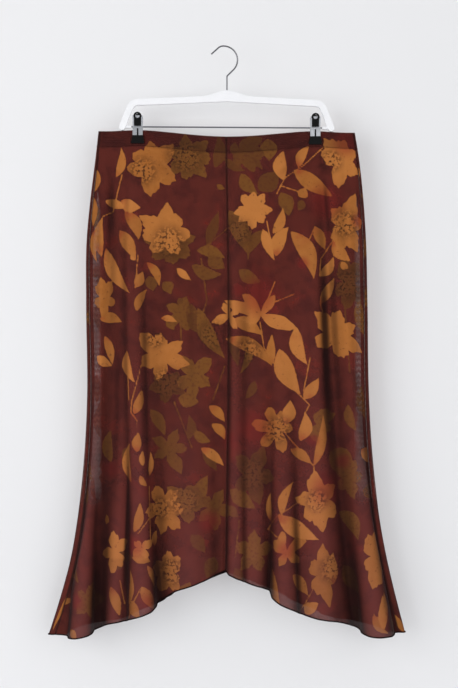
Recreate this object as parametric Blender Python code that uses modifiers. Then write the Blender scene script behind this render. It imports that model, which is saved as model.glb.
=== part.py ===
"""A midi skirt of sheer mesh over a narrow lining, hung flat by two clips on a plastic clip hanger.

Metres, +Z up, +Y away from the viewer. The origin is the top of the hook's inside, where it hangs.
The skirt is a closed tube: every panel is a stretch of one outline, which the tables below give at
each height, with its folds. The panels are walls made from that outline and its inward offset.
"""

import math

import bmesh
import bpy
import numpy as np
from mathutils import Matrix

# Cloth
WALL = 0.0011
GAP = 0.0003
CASING_WALL = 0.0010
CASING_HEIGHT = 0.029
LINING_WALL = 0.0010
LINING_HEM = -0.891

# Waist edge: level at the clips, sagging between them, with the back edge a little higher
CLIP_LEFT = -0.1496
CLIP_RIGHT = 0.1610
WAIST_AT_CLIPS = -0.1474
WAIST_SAG = 0.0108
WAIST_END_DROP = 0.0022
WAIST_END_RUN = 0.055
BACK_RISE = 0.0018
BACK_RISE_AT_CLIPS = 0.0009

# Hem: its height by the share of a panel's cloth from the centre seam to the side seam. The back
# hangs a little lower at its centre, and the whole hem is a little higher on the right
HEM_COLUMNS = ("share", "z")
HEM = (
    (0.00, -0.9134),
    (0.08, -0.9255),
    (0.17, -0.9370),
    (0.26, -0.9485),
    (0.34, -0.9655),
    (0.45, -0.9850),
    (0.55, -0.9970),
    (0.66, -1.0055),
    (0.74, -1.0165),
    (0.82, -1.0265),
    (0.91, -1.0268),
    (1.00, -1.0250),
)
HEM_LEVEL = -0.990
HEM_LOW = -1.027
HEM_TILT = 0.0065
BACK_HEM_DROP = 0.0085

# Grip of the clips on the cloth
GRIP_DEPTH = 0.0031
GRIP_HALF_WIDTH = 0.018
GRIP_SPREAD = 0.075
GRIP_BOTTOM = -0.1725
GRIP_RELEASE = 0.11

# The tube at each height: its left and right edges, how far the front and the back stand off the
# middle plane, and the radius of the turn at the sides
BODY_COLUMNS = ("z", "left", "right", "front", "back", "turn")
BODY = (
    (-0.145, -0.2190, 0.2295, 0.0084, 0.0080, 0.0036),
    (-0.198, -0.2249, 0.2380, 0.0102, 0.0094, 0.0046),
    (-0.268, -0.2336, 0.2454, 0.0124, 0.0112, 0.0056),
    (-0.338, -0.2400, 0.2500, 0.0142, 0.0126, 0.0062),
    (-0.443, -0.2410, 0.2525, 0.0155, 0.0138, 0.0068),
    (-0.618, -0.2394, 0.2555, 0.0180, 0.0155, 0.0078),
    (-0.688, -0.2424, 0.2592, 0.0195, 0.0165, 0.0085),
    (-0.758, -0.2480, 0.2655, 0.0215, 0.0178, 0.0092),
    (-0.828, -0.2564, 0.2740, 0.0240, 0.0192, 0.0100),
    (-0.898, -0.2686, 0.2870, 0.0268, 0.0205, 0.0110),
    (-0.968, -0.2875, 0.3035, 0.0290, 0.0220, 0.0120),
    (-1.045, -0.3120, 0.3240, 0.0300, 0.0230, 0.0130),
)

# The lining at each height, a narrower tube inside it
LINING_COLUMNS = ("z", "left", "right", "front", "back", "turn")
LINING = (
    (-0.170, -0.2165, 0.2290, 0.0065, 0.0062, 0.0030),
    (-0.300, -0.2150, 0.2290, 0.0085, 0.0078, 0.0036),
    (-0.600, -0.2140, 0.2290, 0.0115, 0.0100, 0.0040),
    (-0.900, -0.2120, 0.2280, 0.0140, 0.0120, 0.0042),
)
LINING_FREE = 0.12
LINING_REACH = 0.009
LINING_CLEAR = 0.0010
LINING_SKIN_GAP = 0.0006

# Where the centre-front seam runs
CENTRE_SEAM_COLUMNS = ("z", "x")
CENTRE_SEAM = (
    (-0.150, 0.0045),
    (-0.450, 0.0090),
    (-0.750, 0.0085),
    (-1.045, 0.0045),
)

# Folds, a row each: where it starts, where it meets the hem, how its path bends, its half width at
# both ends, how far it stands out (a trough stands in) at both ends, how soon it grows, and how
# far its sides are tucked in under it
FOLD_COLUMNS = ("top_x", "top_z", "hem_x", "bend", "top_width", "hem_width", "top_depth",
                "hem_depth", "growth", "tuck")
FRONT_FOLDS = (
    (-0.222, -0.520, -0.2480, 1.0, 0.0100, 0.0130, 0.0010, 0.0300, 1.5, 1.8),
    (-0.192, -0.170, -0.2130, 1.3, 0.0100, 0.0120, -0.0022, -0.0090, 1.5, 0.0),
    (-0.172, -0.560, -0.1900, 1.0, 0.0140, 0.0130, 0.0000, 0.0100, 1.5, 0.6),
    (-0.160, -0.180, -0.1400, 0.9, 0.0120, 0.0160, 0.0016, 0.0330, 2.6, 1.9),
    (-0.128, -0.300, -0.1040, 1.0, 0.0140, 0.0120, -0.0010, -0.0080, 1.6, 0.0),
    (-0.070, -0.480, -0.0560, 1.0, 0.0300, 0.0290, 0.0000, 0.0140, 1.5, 0.5),
    (-0.016, -0.560, -0.0120, 1.0, 0.0120, 0.0090, 0.0000, -0.0070, 1.6, 0.0),
    (0.0220, -0.240, 0.0200, 1.0, 0.0120, 0.0100, 0.0012, 0.0190, 1.9, 1.8),
    (0.0560, -0.480, 0.0520, 1.0, 0.0180, 0.0160, 0.0000, 0.0120, 1.5, 0.4),
    (0.0800, -0.520, 0.0800, 1.0, 0.0110, 0.0090, 0.0000, -0.0090, 1.5, 0.0),
    (0.1000, -0.420, 0.1060, 1.0, 0.0150, 0.0150, 0.0008, 0.0300, 2.2, 1.9),
    (0.1450, -0.300, 0.1720, 1.5, 0.0280, 0.0270, 0.0014, 0.0150, 1.6, 0.4),
    (0.1700, -0.175, 0.2280, 1.8, 0.0110, 0.0110, -0.0024, -0.0100, 1.5, 0.0),
    (0.2150, -0.480, 0.2680, 1.4, 0.0130, 0.0170, 0.0010, 0.0330, 1.7, 1.9),
)
BACK_FOLDS = (
    (-0.205, -0.480, -0.2450, 1.2, 0.0130, 0.0170, 0.0008, 0.0260, 1.8, 1.7),
    (-0.150, -0.175, -0.1900, 1.5, 0.0120, 0.0110, -0.0020, -0.0070, 1.6, 0.0),
    (-0.130, -0.320, -0.1320, 1.0, 0.0170, 0.0190, 0.0010, 0.0240, 2.0, 1.6),
    (-0.075, -0.560, -0.0720, 1.0, 0.0160, 0.0140, 0.0000, 0.0160, 1.6, 1.0),
    (-0.020, -0.500, -0.0260, 1.0, 0.0130, 0.0120, 0.0000, 0.0120, 1.6, 0.8),
    (0.0400, -0.520, 0.0420, 1.0, 0.0150, 0.0170, 0.0000, 0.0170, 1.6, 1.0),
    (0.0880, -0.460, 0.0940, 1.0, 0.0150, 0.0120, 0.0000, -0.0070, 1.6, 0.0),
    (0.1300, -0.300, 0.1420, 1.2, 0.0170, 0.0190, 0.0010, 0.0250, 2.1, 1.7),
    (0.1680, -0.180, 0.2050, 1.6, 0.0120, 0.0110, -0.0020, -0.0070, 1.6, 0.0),
    (0.2150, -0.500, 0.2600, 1.3, 0.0130, 0.0160, 0.0008, 0.0250, 1.8, 1.7),
)
FOLD_FADE_IN = 0.12
EDGE_CALM = 0.012
SEAM_CREASE_DEPTH = 0.0011
SEAM_CREASE_HEM = 0.0050
SEAM_CREASE_WIDTH = 0.0065

# The grid of a panel: bands down its length below the casing, as shares of it, and columns
PANEL_ROWS = (0.0, 0.03, 0.07, 0.12, 0.18, 0.25, 0.33, 0.41, 0.49, 0.56, 0.62, 0.68, 0.73, 0.78,
              0.83, 0.87, 0.91, 0.945, 0.975, 1.0)
PANEL_COLUMNS = 24
TURN_COLUMNS = 6
LINING_SHARED_ROWS = 6
LINING_OWN_ROWS = 4

# Hanger, measured from its middle and from the top of its hump, which lies at these places
HANGER_X = 0.0060
HANGER_TOP = -0.0766
HANGER_TILT = 0.0062
RAIL_WIDTH = 0.0110
RAIL_THICK = 0.0080
RAIL_EDGE = 0.0016
RAIL_MIDDLE = -0.0140
CORNER_X = 0.1656
CORNER_Z = -0.0222
CORNER_RADIUS = 0.0150
ARM_END_X = 0.1829
ARM_END_Z = -0.0655
HUMP_HALF = 0.0430
HUMP_RISE = 0.0085
HUMP_TOP = RAIL_MIDDLE + RAIL_WIDTH / 2 + HUMP_RISE
SOCKET_RADIUS = 0.0030
SOCKET_INNER_X = 0.1670
SOCKET_OUTER_X = 0.1800
BAR_RADIUS = 0.00125
BAR_Z = -0.0645

# Hook, a wire bent from its tip over two arcs to the shaft
WIRE_RADIUS = 0.0013
TIP_RUN = 0.0161
TIP_ARC_RADIUS = 0.0140
MAIN_ARC_RADIUS = 0.0245
ARC_START = 132.0
ARC_END = -48.0
NECK_Z = -0.0530
NECK_RADIUS = 0.0035
SHAFT_DEPTH = 0.0080

# Clips, measured from the bar's middle where each one sits
SPRING_INNER = 0.0016
SPRING_THICK = 0.0006
SPRING_WIDTH = 0.0060
LEAF_THICK = 0.0008
LEAF_WIDTH = 0.0176
SLOT_WIDTH = 0.0028
LEAF_LEAN = 0.0048
LEAF_TOP = 0.0190
LEAF_WAIST = 0.0012
LEAF_STRAIGHT = -0.0048
LEAF_FOOT = -0.0150
SLOT_TOP = -0.0012
SLOT_CUT_NEAR = 0.0016
SLOT_CUT_FAR = 0.0140
LEVER_THICK = 0.0020
LEVER_WIDTH = 0.0124
EYE_HEIGHT = 0.0172
EYE_RADIUS = 0.0071
EYE_HOLE = 0.0040
JAW_THICK = 0.0026
JAW_TOP_WIDTH = 0.0180
JAW_FOOT_WIDTH = 0.0236
JAW_HEIGHT = 0.0143
JAW_LIP = 0.0030
TONGUE_WIDTH = 0.0020
TONGUE_HEIGHT = 0.0125
SMALL_EDGE = 0.0004
SPRING_FOOT = -0.0046


def column(table, columns, name, place, key="z"):
    """One column of a table at a place by its key column, along a smooth curve through its rows."""
    rows = np.array(sorted(table, key=lambda row: row[columns.index(key)]))
    places = rows[:, columns.index(key)]
    values = rows[:, columns.index(name)]
    slopes = np.gradient(values, places)
    place = np.clip(place, places[0], places[-1])
    i = np.clip(np.searchsorted(places, place) - 1, 0, len(places) - 2)
    step = places[i + 1] - places[i]
    t = (place - places[i]) / step
    start = values[i] * (1 + 2 * t) * (1 - t) ** 2 + slopes[i] * step * t * (1 - t) ** 2
    end = values[i + 1] * t * t * (3 - 2 * t) - slopes[i + 1] * step * t * t * (1 - t)
    return start + end


def ease(t):
    """0 to 1 with level ends."""
    t = np.clip(t, 0.0, 1.0)
    return t * t * (3 - 2 * t)


def fold_shift(table, x, z):
    """How far a table's folds move the cloth sideways and outward at x and z."""
    sideways = np.zeros_like(x)
    outward = np.zeros_like(x)
    for row in table:
        fold = dict(zip(FOLD_COLUMNS, row))
        t = np.clip((fold["top_z"] - z) / (fold["top_z"] - HEM_LOW), 0.0, 1.05)
        middle = fold["top_x"] + (fold["hem_x"] - fold["top_x"]) * t ** fold["bend"]
        width = fold["top_width"] + (fold["hem_width"] - fold["top_width"]) * t
        grown = t ** fold["growth"]
        depth = fold["top_depth"] + (fold["hem_depth"] - fold["top_depth"]) * grown
        depth = depth * ease((fold["top_z"] - z) / FOLD_FADE_IN)
        u = (x - middle) / width
        bell = np.exp(-u * u)
        sideways += fold["tuck"] * width * u * bell * grown
        outward += depth * bell
    return sideways, outward


def grip(x, z):
    """1 where a clip holds the cloth flat, falling to 0 away from it."""
    off = np.minimum(abs(x - CLIP_LEFT), abs(x - CLIP_RIGHT)) - GRIP_HALF_WIDTH
    beside = 1 - ease(off / GRIP_SPREAD)
    below = 1 - ease((GRIP_BOTTOM - z) / GRIP_RELEASE)
    return beside * below


def centre_seam(z):
    return column(CENTRE_SEAM, CENTRE_SEAM_COLUMNS, "x", z)


def body(name, z):
    return column(BODY, BODY_COLUMNS, name, z)


def span_depth(x, z, side):
    """Distance of the front's or back's base line from the middle plane."""
    turn = body("turn", z)
    left = body("left", z) + turn
    right = body("right", z) - turn
    u = np.clip(2 * (x - left) / (right - left) - 1, -1.0, 1.0)
    depth = turn + (body(side, z) - turn) * (1 - u * u)
    held = grip(x, z)
    return depth * (1 - held) + np.minimum(depth, GRIP_DEPTH) * held


def face_line(x, z, side):
    """The front or back of the tube at base place x, with its folds."""
    sign = -1.0 if side == "front" else 1.0
    folds = FRONT_FOLDS if side == "front" else BACK_FOLDS
    sideways, outward = fold_shift(folds, x, z)
    t = np.clip((WAIST_AT_CLIPS - z) / (WAIST_AT_CLIPS - HEM_LOW), 0.0, 1.0)
    crease = SEAM_CREASE_DEPTH + (SEAM_CREASE_HEM - SEAM_CREASE_DEPTH) * t
    crease = crease * np.exp(-(((x - centre_seam(z)) / SEAM_CREASE_WIDTH) ** 2))
    free = 1 - grip(x, z)
    turn = body("turn", z)
    from_edge = np.minimum(x - body("left", z) - turn, body("right", z) - turn - x)
    inside = ease(from_edge / EDGE_CALM)
    depth = span_depth(x, z, side) + (outward - crease) * free * inside
    return x + sideways * inside, sign * depth


def turn_line(share, z, edge):
    """The turn at a side edge: share 0 at the front seam, 1 at the back."""
    turn = body("turn", z)
    angle = np.pi * (share - 0.5)
    sign = 1.0 if edge == "right" else -1.0
    centre = body(edge, z) - sign * turn
    return centre + sign * turn * np.cos(angle), turn * np.sin(angle)


TURN_SHARE = TURN_COLUMNS / (TURN_COLUMNS + PANEL_COLUMNS)


def outline(panel, a, z):
    """A point of a panel's outer face: a runs 0 to 1 anticlockwise as seen from above."""
    turn = body("turn", z)
    left = body("left", z) + turn
    right = body("right", z) - turn
    seam = centre_seam(z)
    half_gap = GAP / 2
    if panel == "front_left":
        return face_line(left + half_gap + (seam - left - 2 * half_gap) * a, z, "front")
    if panel == "front_right":
        return face_line(seam + half_gap + (right - seam - 2 * half_gap) * a, z, "front")
    lead = half_gap / (np.pi * turn)
    if panel == "back_right":
        round_part = np.clip(a / TURN_SHARE, 0.0, 1.0)
        flat_part = np.clip((a - TURN_SHARE) / (1 - TURN_SHARE), 0.0, 1.0)
        edge, first, last = "right", right, seam + half_gap
        share = lead + (1 - lead) * round_part
        on_turn = a <= TURN_SHARE
    else:
        round_part = np.clip((a - 1 + TURN_SHARE) / TURN_SHARE, 0.0, 1.0)
        flat_part = np.clip(a / (1 - TURN_SHARE), 0.0, 1.0)
        edge, first, last = "left", seam - half_gap, left
        share = 1 - (1 - lead) * round_part
        on_turn = a >= 1 - TURN_SHARE
    face_x, face_y = face_line(first + (last - first) * flat_part, z, "back")
    turn_x, turn_y = turn_line(share, z, edge)
    return np.where(on_turn, turn_x, face_x), np.where(on_turn, turn_y, face_y)


def inward(panel, a, z, offset):
    """The outline moved in by an offset, level."""
    step = 0.001
    x, y = outline(panel, a, z)
    x0, y0 = outline(panel, np.clip(a - step, 0, 1), z)
    x1, y1 = outline(panel, np.clip(a + step, 0, 1), z)
    length = np.hypot(x1 - x0, y1 - y0)
    return x - offset * (y1 - y0) / length, y + offset * (x1 - x0) / length


def room_inside(x, z, side):
    """How far from the middle plane the lining may reach under the mesh near x."""
    spots = [abs(face_line(x + reach, z, side)[1]) for reach in (-LINING_REACH, 0.0, LINING_REACH)]
    return np.minimum.reduce(spots) - WALL - LINING_CLEAR


def lining_outline(panel, a, z):
    """The lining's outer face: on the mesh's inside at the casing, its own tube lower down."""
    near_x, near_y = inward(panel, a, z, WALL + LINING_SKIN_GAP)
    turn = column(LINING, LINING_COLUMNS, "turn", z)
    left = column(LINING, LINING_COLUMNS, "left", z)
    right = column(LINING, LINING_COLUMNS, "right", z)
    base_x, base_y = outline(panel, a, z)
    share = (base_x - body("left", z)) / (body("right", z) - body("left", z))
    x = left + (right - left) * np.clip(share, 0.0, 1.0)
    side = "front" if panel.startswith("front") else "back"
    depth = column(LINING, LINING_COLUMNS, side, z)
    u = np.clip(2 * (x - left) / (right - left) - 1, -1.0, 1.0)
    height = np.minimum(turn + (depth - turn) * (1 - u * u), room_inside(x, z, side))
    edge = np.minimum(x - left, right - x)
    round_off = np.sqrt(np.clip(1 - (1 - np.clip(edge / turn, 0.0, 1.0)) ** 2, 0.0, 1.0))
    y = height * round_off * np.where(base_y < 0, -1.0, 1.0)
    free = ease((waist_edge(base_x, side) - CASING_HEIGHT - z) / LINING_FREE)
    return near_x + (x - near_x) * free, near_y + (y - near_y) * free


def waist_edge(x, side):
    """Height of the waist's top edge."""
    middle = (CLIP_LEFT + CLIP_RIGHT) / 2
    half = (CLIP_RIGHT - CLIP_LEFT) / 2
    u = (x - middle) / half
    sag = WAIST_SAG * np.where(abs(u) < 1, (1 - np.clip(u * u, 0, 1)) ** 2, 0.0)
    drop = WAIST_END_DROP * ease((abs(x - middle) - half) / WAIST_END_RUN)
    rise = BACK_RISE + (BACK_RISE_AT_CLIPS - BACK_RISE) * ease(abs(u)) if side == "back" else 0.0
    tilt = -HANGER_TILT * (x - HANGER_X)
    return WAIST_AT_CLIPS - sag - drop + tilt + rise


def side_of(panel):
    return "front" if panel.startswith("front") else "back"


def hem_edge(panel, a):
    """Height of the hem, from the length of cloth between the centre seam and this place."""
    places = np.linspace(0.0, 1.0, 600)
    level = np.full_like(places, HEM_LEVEL)
    x, y = outline(panel, places, level)
    along = np.concatenate([[0.0], np.cumsum(np.hypot(np.diff(x), np.diff(y)))])
    along = along / along[-1]
    from_centre = np.interp(a, places, along)
    if panel in ("front_left", "back_right"):
        from_centre = 1 - from_centre
    height = column(HEM, HEM_COLUMNS, "z", from_centre, "share")
    drop = BACK_HEM_DROP * (1 - from_centre) if side_of(panel) == "back" else 0.0
    return height - drop + HEM_TILT * np.interp(a, places, x)


def waist_of(panel, a):
    """Height of the top edge over a panel's place a."""
    x, _ = outline(panel, a, np.full_like(a, WAIST_AT_CLIPS))
    side = side_of(panel)
    edge = waist_edge(x, side)
    if side == "back":
        near_turn = a / TURN_SHARE if panel == "back_right" else (1 - a) / TURN_SHARE
        edge = waist_edge(x, "front") + (edge - waist_edge(x, "front")) * ease(near_turn)
    return edge


def places_of(panel):
    """The columns of a panel's grid."""
    if panel.startswith("front"):
        return np.linspace(0.0, 1.0, PANEL_COLUMNS + 1)
    return np.linspace(0.0, 1.0, PANEL_COLUMNS + TURN_COLUMNS + 1)


def panel_heights(panel, a):
    """The rows of a panel's grid: two casing bands, then the bands down to the hem."""
    top = waist_of(panel, a)
    foot = hem_edge(panel, a)
    fold_line = top - CASING_HEIGHT
    casing = [top, top - CASING_HEIGHT / 2]
    return np.array(casing + [fold_line + (foot - fold_line) * share for share in PANEL_ROWS])


def wall_object(name, outer, inner, material, collection):
    """A closed wall between two grids of points, rows from the top down."""
    rows, columns = outer.shape[:2]
    points = np.concatenate([outer.reshape(-1, 3), inner.reshape(-1, 3)])
    back = rows * columns
    faces = []
    for i in range(rows - 1):
        for j in range(columns - 1):
            a = i * columns + j
            b = a + 1
            c = a + columns + 1
            d = a + columns
            faces.append((a, d, c, b))
            faces.append((back + a, back + b, back + c, back + d))
    for j in range(columns - 1):
        foot = (rows - 1) * columns + j
        faces.append((j, j + 1, back + j + 1, back + j))
        faces.append((foot, back + foot, back + foot + 1, foot + 1))
    for i in range(rows - 1):
        left = i * columns
        right = left + columns - 1
        faces.append((left, back + left, back + left + columns, left + columns))
        faces.append((right, right + columns, back + right + columns, back + right))
    mesh = bpy.data.meshes.new(name)
    mesh.from_pydata(points.tolist(), [], faces)
    build = bmesh.new()
    build.from_mesh(mesh)
    bmesh.ops.triangulate(build, faces=build.faces[:], quad_method="FIXED")
    build.to_mesh(mesh)
    build.free()
    mesh.shade_smooth()
    mesh.set_sharp_from_angle(angle=math.radians(50))
    return keep(name, mesh, material, collection)


def grid_points(sections):
    """Join panels' (x, y, z) grids side by side into one grid of points."""
    return np.concatenate([np.stack(section, axis=2) for section in sections], axis=1)


def keep(name, mesh, material, collection):
    """An object of this name in the collection, with its material."""
    obj = bpy.data.objects.new(name, mesh)
    mesh.materials.clear()
    mesh.materials.append(material)
    collection.objects.link(obj)
    return obj


def mesh_panel(panel, material, collection):
    """One panel of the printed mesh."""
    a = places_of(panel)
    z = panel_heights(panel, a)
    a = np.broadcast_to(a, z.shape)
    outer = grid_points([(*outline(panel, a, z), z)])
    inner = grid_points([(*inward(panel, a, z, WALL), z)])
    return wall_object(panel, outer, inner, material, collection)


def casing_piece(name, panels, material, collection):
    """The turned-in waist edge behind a pair of panels."""
    outer = []
    inner = []
    for panel in panels:
        a = places_of(panel)
        z = panel_heights(panel, a)[:3]
        a = np.broadcast_to(a, z.shape)
        outer.append((*inward(panel, a, z, WALL + GAP), z))
        inner.append((*inward(panel, a, z, WALL + GAP + CASING_WALL), z))
    return wall_object(name, grid_points(outer), grid_points(inner), material, collection)


def lining_piece(name, panels, material, collection):
    """The lining behind a pair of panels, from the casing's foot to its own level hem."""
    outer = []
    inner = []
    for panel in panels:
        a = places_of(panel)[::2]
        shared = panel_heights(panel, a)[2:2 + LINING_SHARED_ROWS]
        shared[0] -= GAP
        last = shared[-1]
        own = [last + (LINING_HEM - last) * k / LINING_OWN_ROWS for k in range(1, LINING_OWN_ROWS + 1)]
        z = np.concatenate([shared, np.array(own)])
        a = np.broadcast_to(a, z.shape)
        x, y = lining_outline(panel, a, z)
        step = 0.002
        x0, y0 = lining_outline(panel, np.clip(a - step, 0, 1), z)
        x1, y1 = lining_outline(panel, np.clip(a + step, 0, 1), z)
        length = np.hypot(x1 - x0, y1 - y0)
        outer.append((x, y, z))
        inner.append((x - LINING_WALL * (y1 - y0) / length, y + LINING_WALL * (x1 - x0) / length, z))
    return wall_object(name, grid_points(outer), grid_points(inner), material, collection)


def material_of(name, colour, roughness, metallic=0.0):
    """A Principled material of one colour."""
    material = bpy.data.materials.new(name)
    material.use_nodes = True
    shader = material.node_tree.nodes["Principled BSDF"]
    shader.inputs["Base Color"].default_value = (*colour, 1.0)
    shader.inputs["Roughness"].default_value = roughness
    shader.inputs["Metallic"].default_value = metallic
    return material


def flat_plate(name, outlines, thickness, material, collection):
    """A plate in the XZ plane, centred on Y, from closed outlines of (x, z) points."""
    curve = bpy.data.curves.new(name, "CURVE")
    curve.dimensions = "2D"
    curve.fill_mode = "BOTH"
    curve.extrude = thickness / 2
    for points in outlines:
        spline = curve.splines.new("POLY")
        spline.points.add(len(points) - 1)
        for point, (x, z) in zip(spline.points, points):
            point.co = (x, z, 0.0, 1.0)
        spline.use_cyclic_u = True
    guide = bpy.data.objects.new(name + "_outline", curve)
    bpy.context.scene.collection.objects.link(guide)
    guide.rotation_euler = (math.pi / 2, 0.0, 0.0)
    bpy.context.view_layer.update()
    return solid_of(name, guide, material, collection)


def solid_of(name, guide, material, collection):
    """A curve made a mesh in the same place, its caps welded, and the curve removed."""
    evaluated = guide.evaluated_get(bpy.context.evaluated_depsgraph_get())
    mesh = bpy.data.meshes.new_from_object(evaluated)
    mesh.transform(guide.matrix_world)
    build = bmesh.new()
    build.from_mesh(mesh)
    bmesh.ops.remove_doubles(build, verts=build.verts[:], dist=1e-6)
    bmesh.ops.recalc_face_normals(build, faces=build.faces[:])
    build.to_mesh(mesh)
    build.free()
    bpy.data.objects.remove(guide)
    return keep(name, mesh, material, collection)


def round_edges(obj, width, segments=1):
    """Round an object's sharp edges."""
    bevel = obj.modifiers.new("rounded", "BEVEL")
    bevel.width = width
    bevel.segments = segments
    bevel.limit_method = "ANGLE"
    bevel.angle_limit = math.radians(40)


def arc(centre, radius, start, end, steps):
    """Points of an arc, its angles in degrees from +X towards +Z."""
    angles = [math.radians(start + (end - start) * k / steps) for k in range(steps + 1)]
    return [(centre[0] + radius * math.cos(t), centre[1] + radius * math.sin(t)) for t in angles]


def rail_middle():
    """The right half of the hanger's middle line, from the centre to the arm's end."""
    rail_slope = math.atan2(CORNER_Z - RAIL_MIDDLE, CORNER_X)
    arm_slope = math.atan2(ARM_END_Z - CORNER_Z, ARM_END_X - CORNER_X)
    bend = rail_slope - arm_slope
    run = CORNER_RADIUS * math.tan(bend / 2)
    start = (CORNER_X - run * math.cos(rail_slope), CORNER_Z - run * math.sin(rail_slope))
    centre_x = start[0] + CORNER_RADIUS * math.sin(rail_slope)
    centre_z = start[1] - CORNER_RADIUS * math.cos(rail_slope)
    first = math.degrees(rail_slope) + 90
    last = math.degrees(arm_slope) + 90
    turn = arc((centre_x, centre_z), CORNER_RADIUS, first, last, 6)
    hump = [(HUMP_HALF * k / 6, RAIL_MIDDLE + math.tan(rail_slope) * HUMP_HALF * k / 6) for k in range(7)]
    return hump + turn + [(ARM_END_X, ARM_END_Z)]


def hanger_outline():
    """The hanger's closed outline: over the hump and arms, round their ends and back under."""
    middle = rail_middle()
    half = RAIL_WIDTH / 2
    outer = []
    inner = []
    for i, (x, z) in enumerate(middle):
        before = middle[max(i - 1, 0)]
        after = middle[min(i + 1, len(middle) - 1)]
        angle = math.atan2(after[1] - before[1], after[0] - before[0])
        bell = 0.5 + 0.5 * math.cos(math.pi * min(x / HUMP_HALF, 1.0))
        outer.append((x - half * math.sin(angle), z + half * math.cos(angle) + HUMP_RISE * bell))
        inner.append((x + half * math.sin(angle), z - half * math.cos(angle)))
    outer[0] = (0.0, outer[0][1])
    inner[0] = (0.0, inner[0][1])
    end_angle = math.degrees(math.atan2(middle[-1][1] - middle[-2][1], middle[-1][0] - middle[-2][0]))
    tip = arc(middle[-1], half, end_angle + 90, end_angle - 90, 8)[1:-1]
    right = outer + tip + inner[::-1]
    left = [(-x, z) for x, z in right[1:-1]]
    return right + left[::-1]


def cylinder(name, radius, length, place, axis, collection):
    """A round rod centred at a place, along X or Z."""
    mesh = bpy.data.meshes.new(name)
    build = bmesh.new()
    bmesh.ops.create_cone(build, cap_ends=True, segments=20, radius1=radius, radius2=radius, depth=length)
    if axis == "X":
        bmesh.ops.rotate(build, verts=build.verts[:], matrix=Matrix.Rotation(math.pi / 2, 3, "Y"))
    build.to_mesh(mesh)
    build.free()
    mesh.shade_smooth()
    mesh.set_sharp_from_angle(angle=math.radians(40))
    obj = bpy.data.objects.new(name, mesh)
    obj.location = place
    collection.objects.link(obj)
    return obj


def as_cutter(obj):
    obj.hide_render = True
    obj.display_type = "WIRE"
    return obj


def join_or_cut(obj, tool, operation):
    """Add or take away a tool's shape."""
    boolean = obj.modifiers.new(tool.name, "BOOLEAN")
    boolean.operation = operation
    boolean.object = tool
    boolean.solver = "EXACT"


def build_frame(material, collection, cutters):
    """The white plastic rail, its arms, the bar's sockets and the hook's hole."""
    frame = flat_plate("hanger_frame", [hanger_outline()], RAIL_THICK, material, collection)
    round_edges(frame, RAIL_EDGE, 2)
    for side in (-1, 1):
        length = SOCKET_OUTER_X - SOCKET_INNER_X
        place = (side * (SOCKET_INNER_X + SOCKET_OUTER_X) / 2, 0.0, BAR_Z)
        socket = cylinder("socket", SOCKET_RADIUS, length, place, "X", cutters)
        join_or_cut(frame, as_cutter(socket), "UNION")
    hole_place = (0.0, 0.0, HUMP_TOP)
    hole = cylinder("hook_hole", WIRE_RADIUS + GAP, 2 * SHAFT_DEPTH, hole_place, "Z", cutters)
    join_or_cut(frame, as_cutter(hole), "DIFFERENCE")
    return frame


def build_bar(material, collection):
    """The steel crossbar between the sockets."""
    length = 2 * (SOCKET_INNER_X - GAP)
    bar = cylinder("hanger_bar", BAR_RADIUS, length, (0.0, 0.0, BAR_Z), "X", collection)
    bar.data.materials.append(material)
    return bar


def hook_path():
    """The wire's middle line from its tip to the foot of its shaft, as (x, z)."""
    top = WIRE_RADIUS
    tip_arc = arc((0.0, top - TIP_ARC_RADIUS), TIP_ARC_RADIUS, ARC_START, 90, 6)
    main_arc = arc((0.0, top - MAIN_ARC_RADIUS), MAIN_ARC_RADIUS, 90, ARC_END, 16)
    heading = math.radians(ARC_START + 90)
    start = tip_arc[0]
    tip = (start[0] + TIP_RUN * math.cos(heading), start[1] + TIP_RUN * math.sin(heading))
    shaft_foot = HANGER_TOP - SHAFT_DEPTH + GAP
    bend_centre = (HANGER_X + NECK_RADIUS, NECK_Z)
    bend = arc(bend_centre, NECK_RADIUS, 180 + ARC_END, 180, 3)
    return [tip] + tip_arc + main_arc[1:] + bend + [(HANGER_X, shaft_foot)]


def build_hook(material, collection):
    """The steel hook."""
    path = hook_path()
    curve = bpy.data.curves.new("hanger_hook", "CURVE")
    curve.dimensions = "3D"
    curve.bevel_depth = WIRE_RADIUS
    curve.bevel_resolution = 2
    curve.use_fill_caps = True
    spline = curve.splines.new("POLY")
    spline.points.add(len(path) - 1)
    for point, (x, z) in zip(spline.points, path):
        point.co = (x, 0.0, z, 1.0)
    guide = bpy.data.objects.new("hook_line", curve)
    bpy.context.scene.collection.objects.link(guide)
    bpy.context.view_layer.update()
    hook = solid_of("hanger_hook", guide, material, collection)
    hook.data.shade_smooth()
    hook.data.set_sharp_from_angle(angle=math.radians(50))
    return hook


def strip(name, profile, thickness, width, material, collection):
    """A bent strip: an open (y, z) profile given thickness to its left, and width along X."""
    half = width / 2
    points = []
    for x in (-half, half):
        points += [(x, y, z) for y, z in profile]
    count = len(profile)
    faces = [(i, i + 1, count + i + 1, count + i) for i in range(count - 1)]
    mesh = bpy.data.meshes.new(name)
    mesh.from_pydata(points, [], faces)
    obj = keep(name, mesh, material, collection)
    solid = obj.modifiers.new("thickness", "SOLIDIFY")
    solid.thickness = thickness
    solid.offset = 1.0
    solid.use_even_offset = True
    return obj


def lever_outline():
    """The lever's plate with its round eye, foot at 0, as (x, z)."""
    half = LEVER_WIDTH / 2
    side_angle = math.degrees(math.asin(-math.sqrt(EYE_RADIUS ** 2 - half ** 2) / EYE_RADIUS))
    crown = arc((0.0, EYE_HEIGHT), EYE_RADIUS, side_angle, 180 - side_angle, 10)
    eye = arc((0.0, EYE_HEIGHT), EYE_HOLE, 0, 315, 7)
    return [[(-half, 0.0), (half, 0.0)] + crown, eye]


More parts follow.
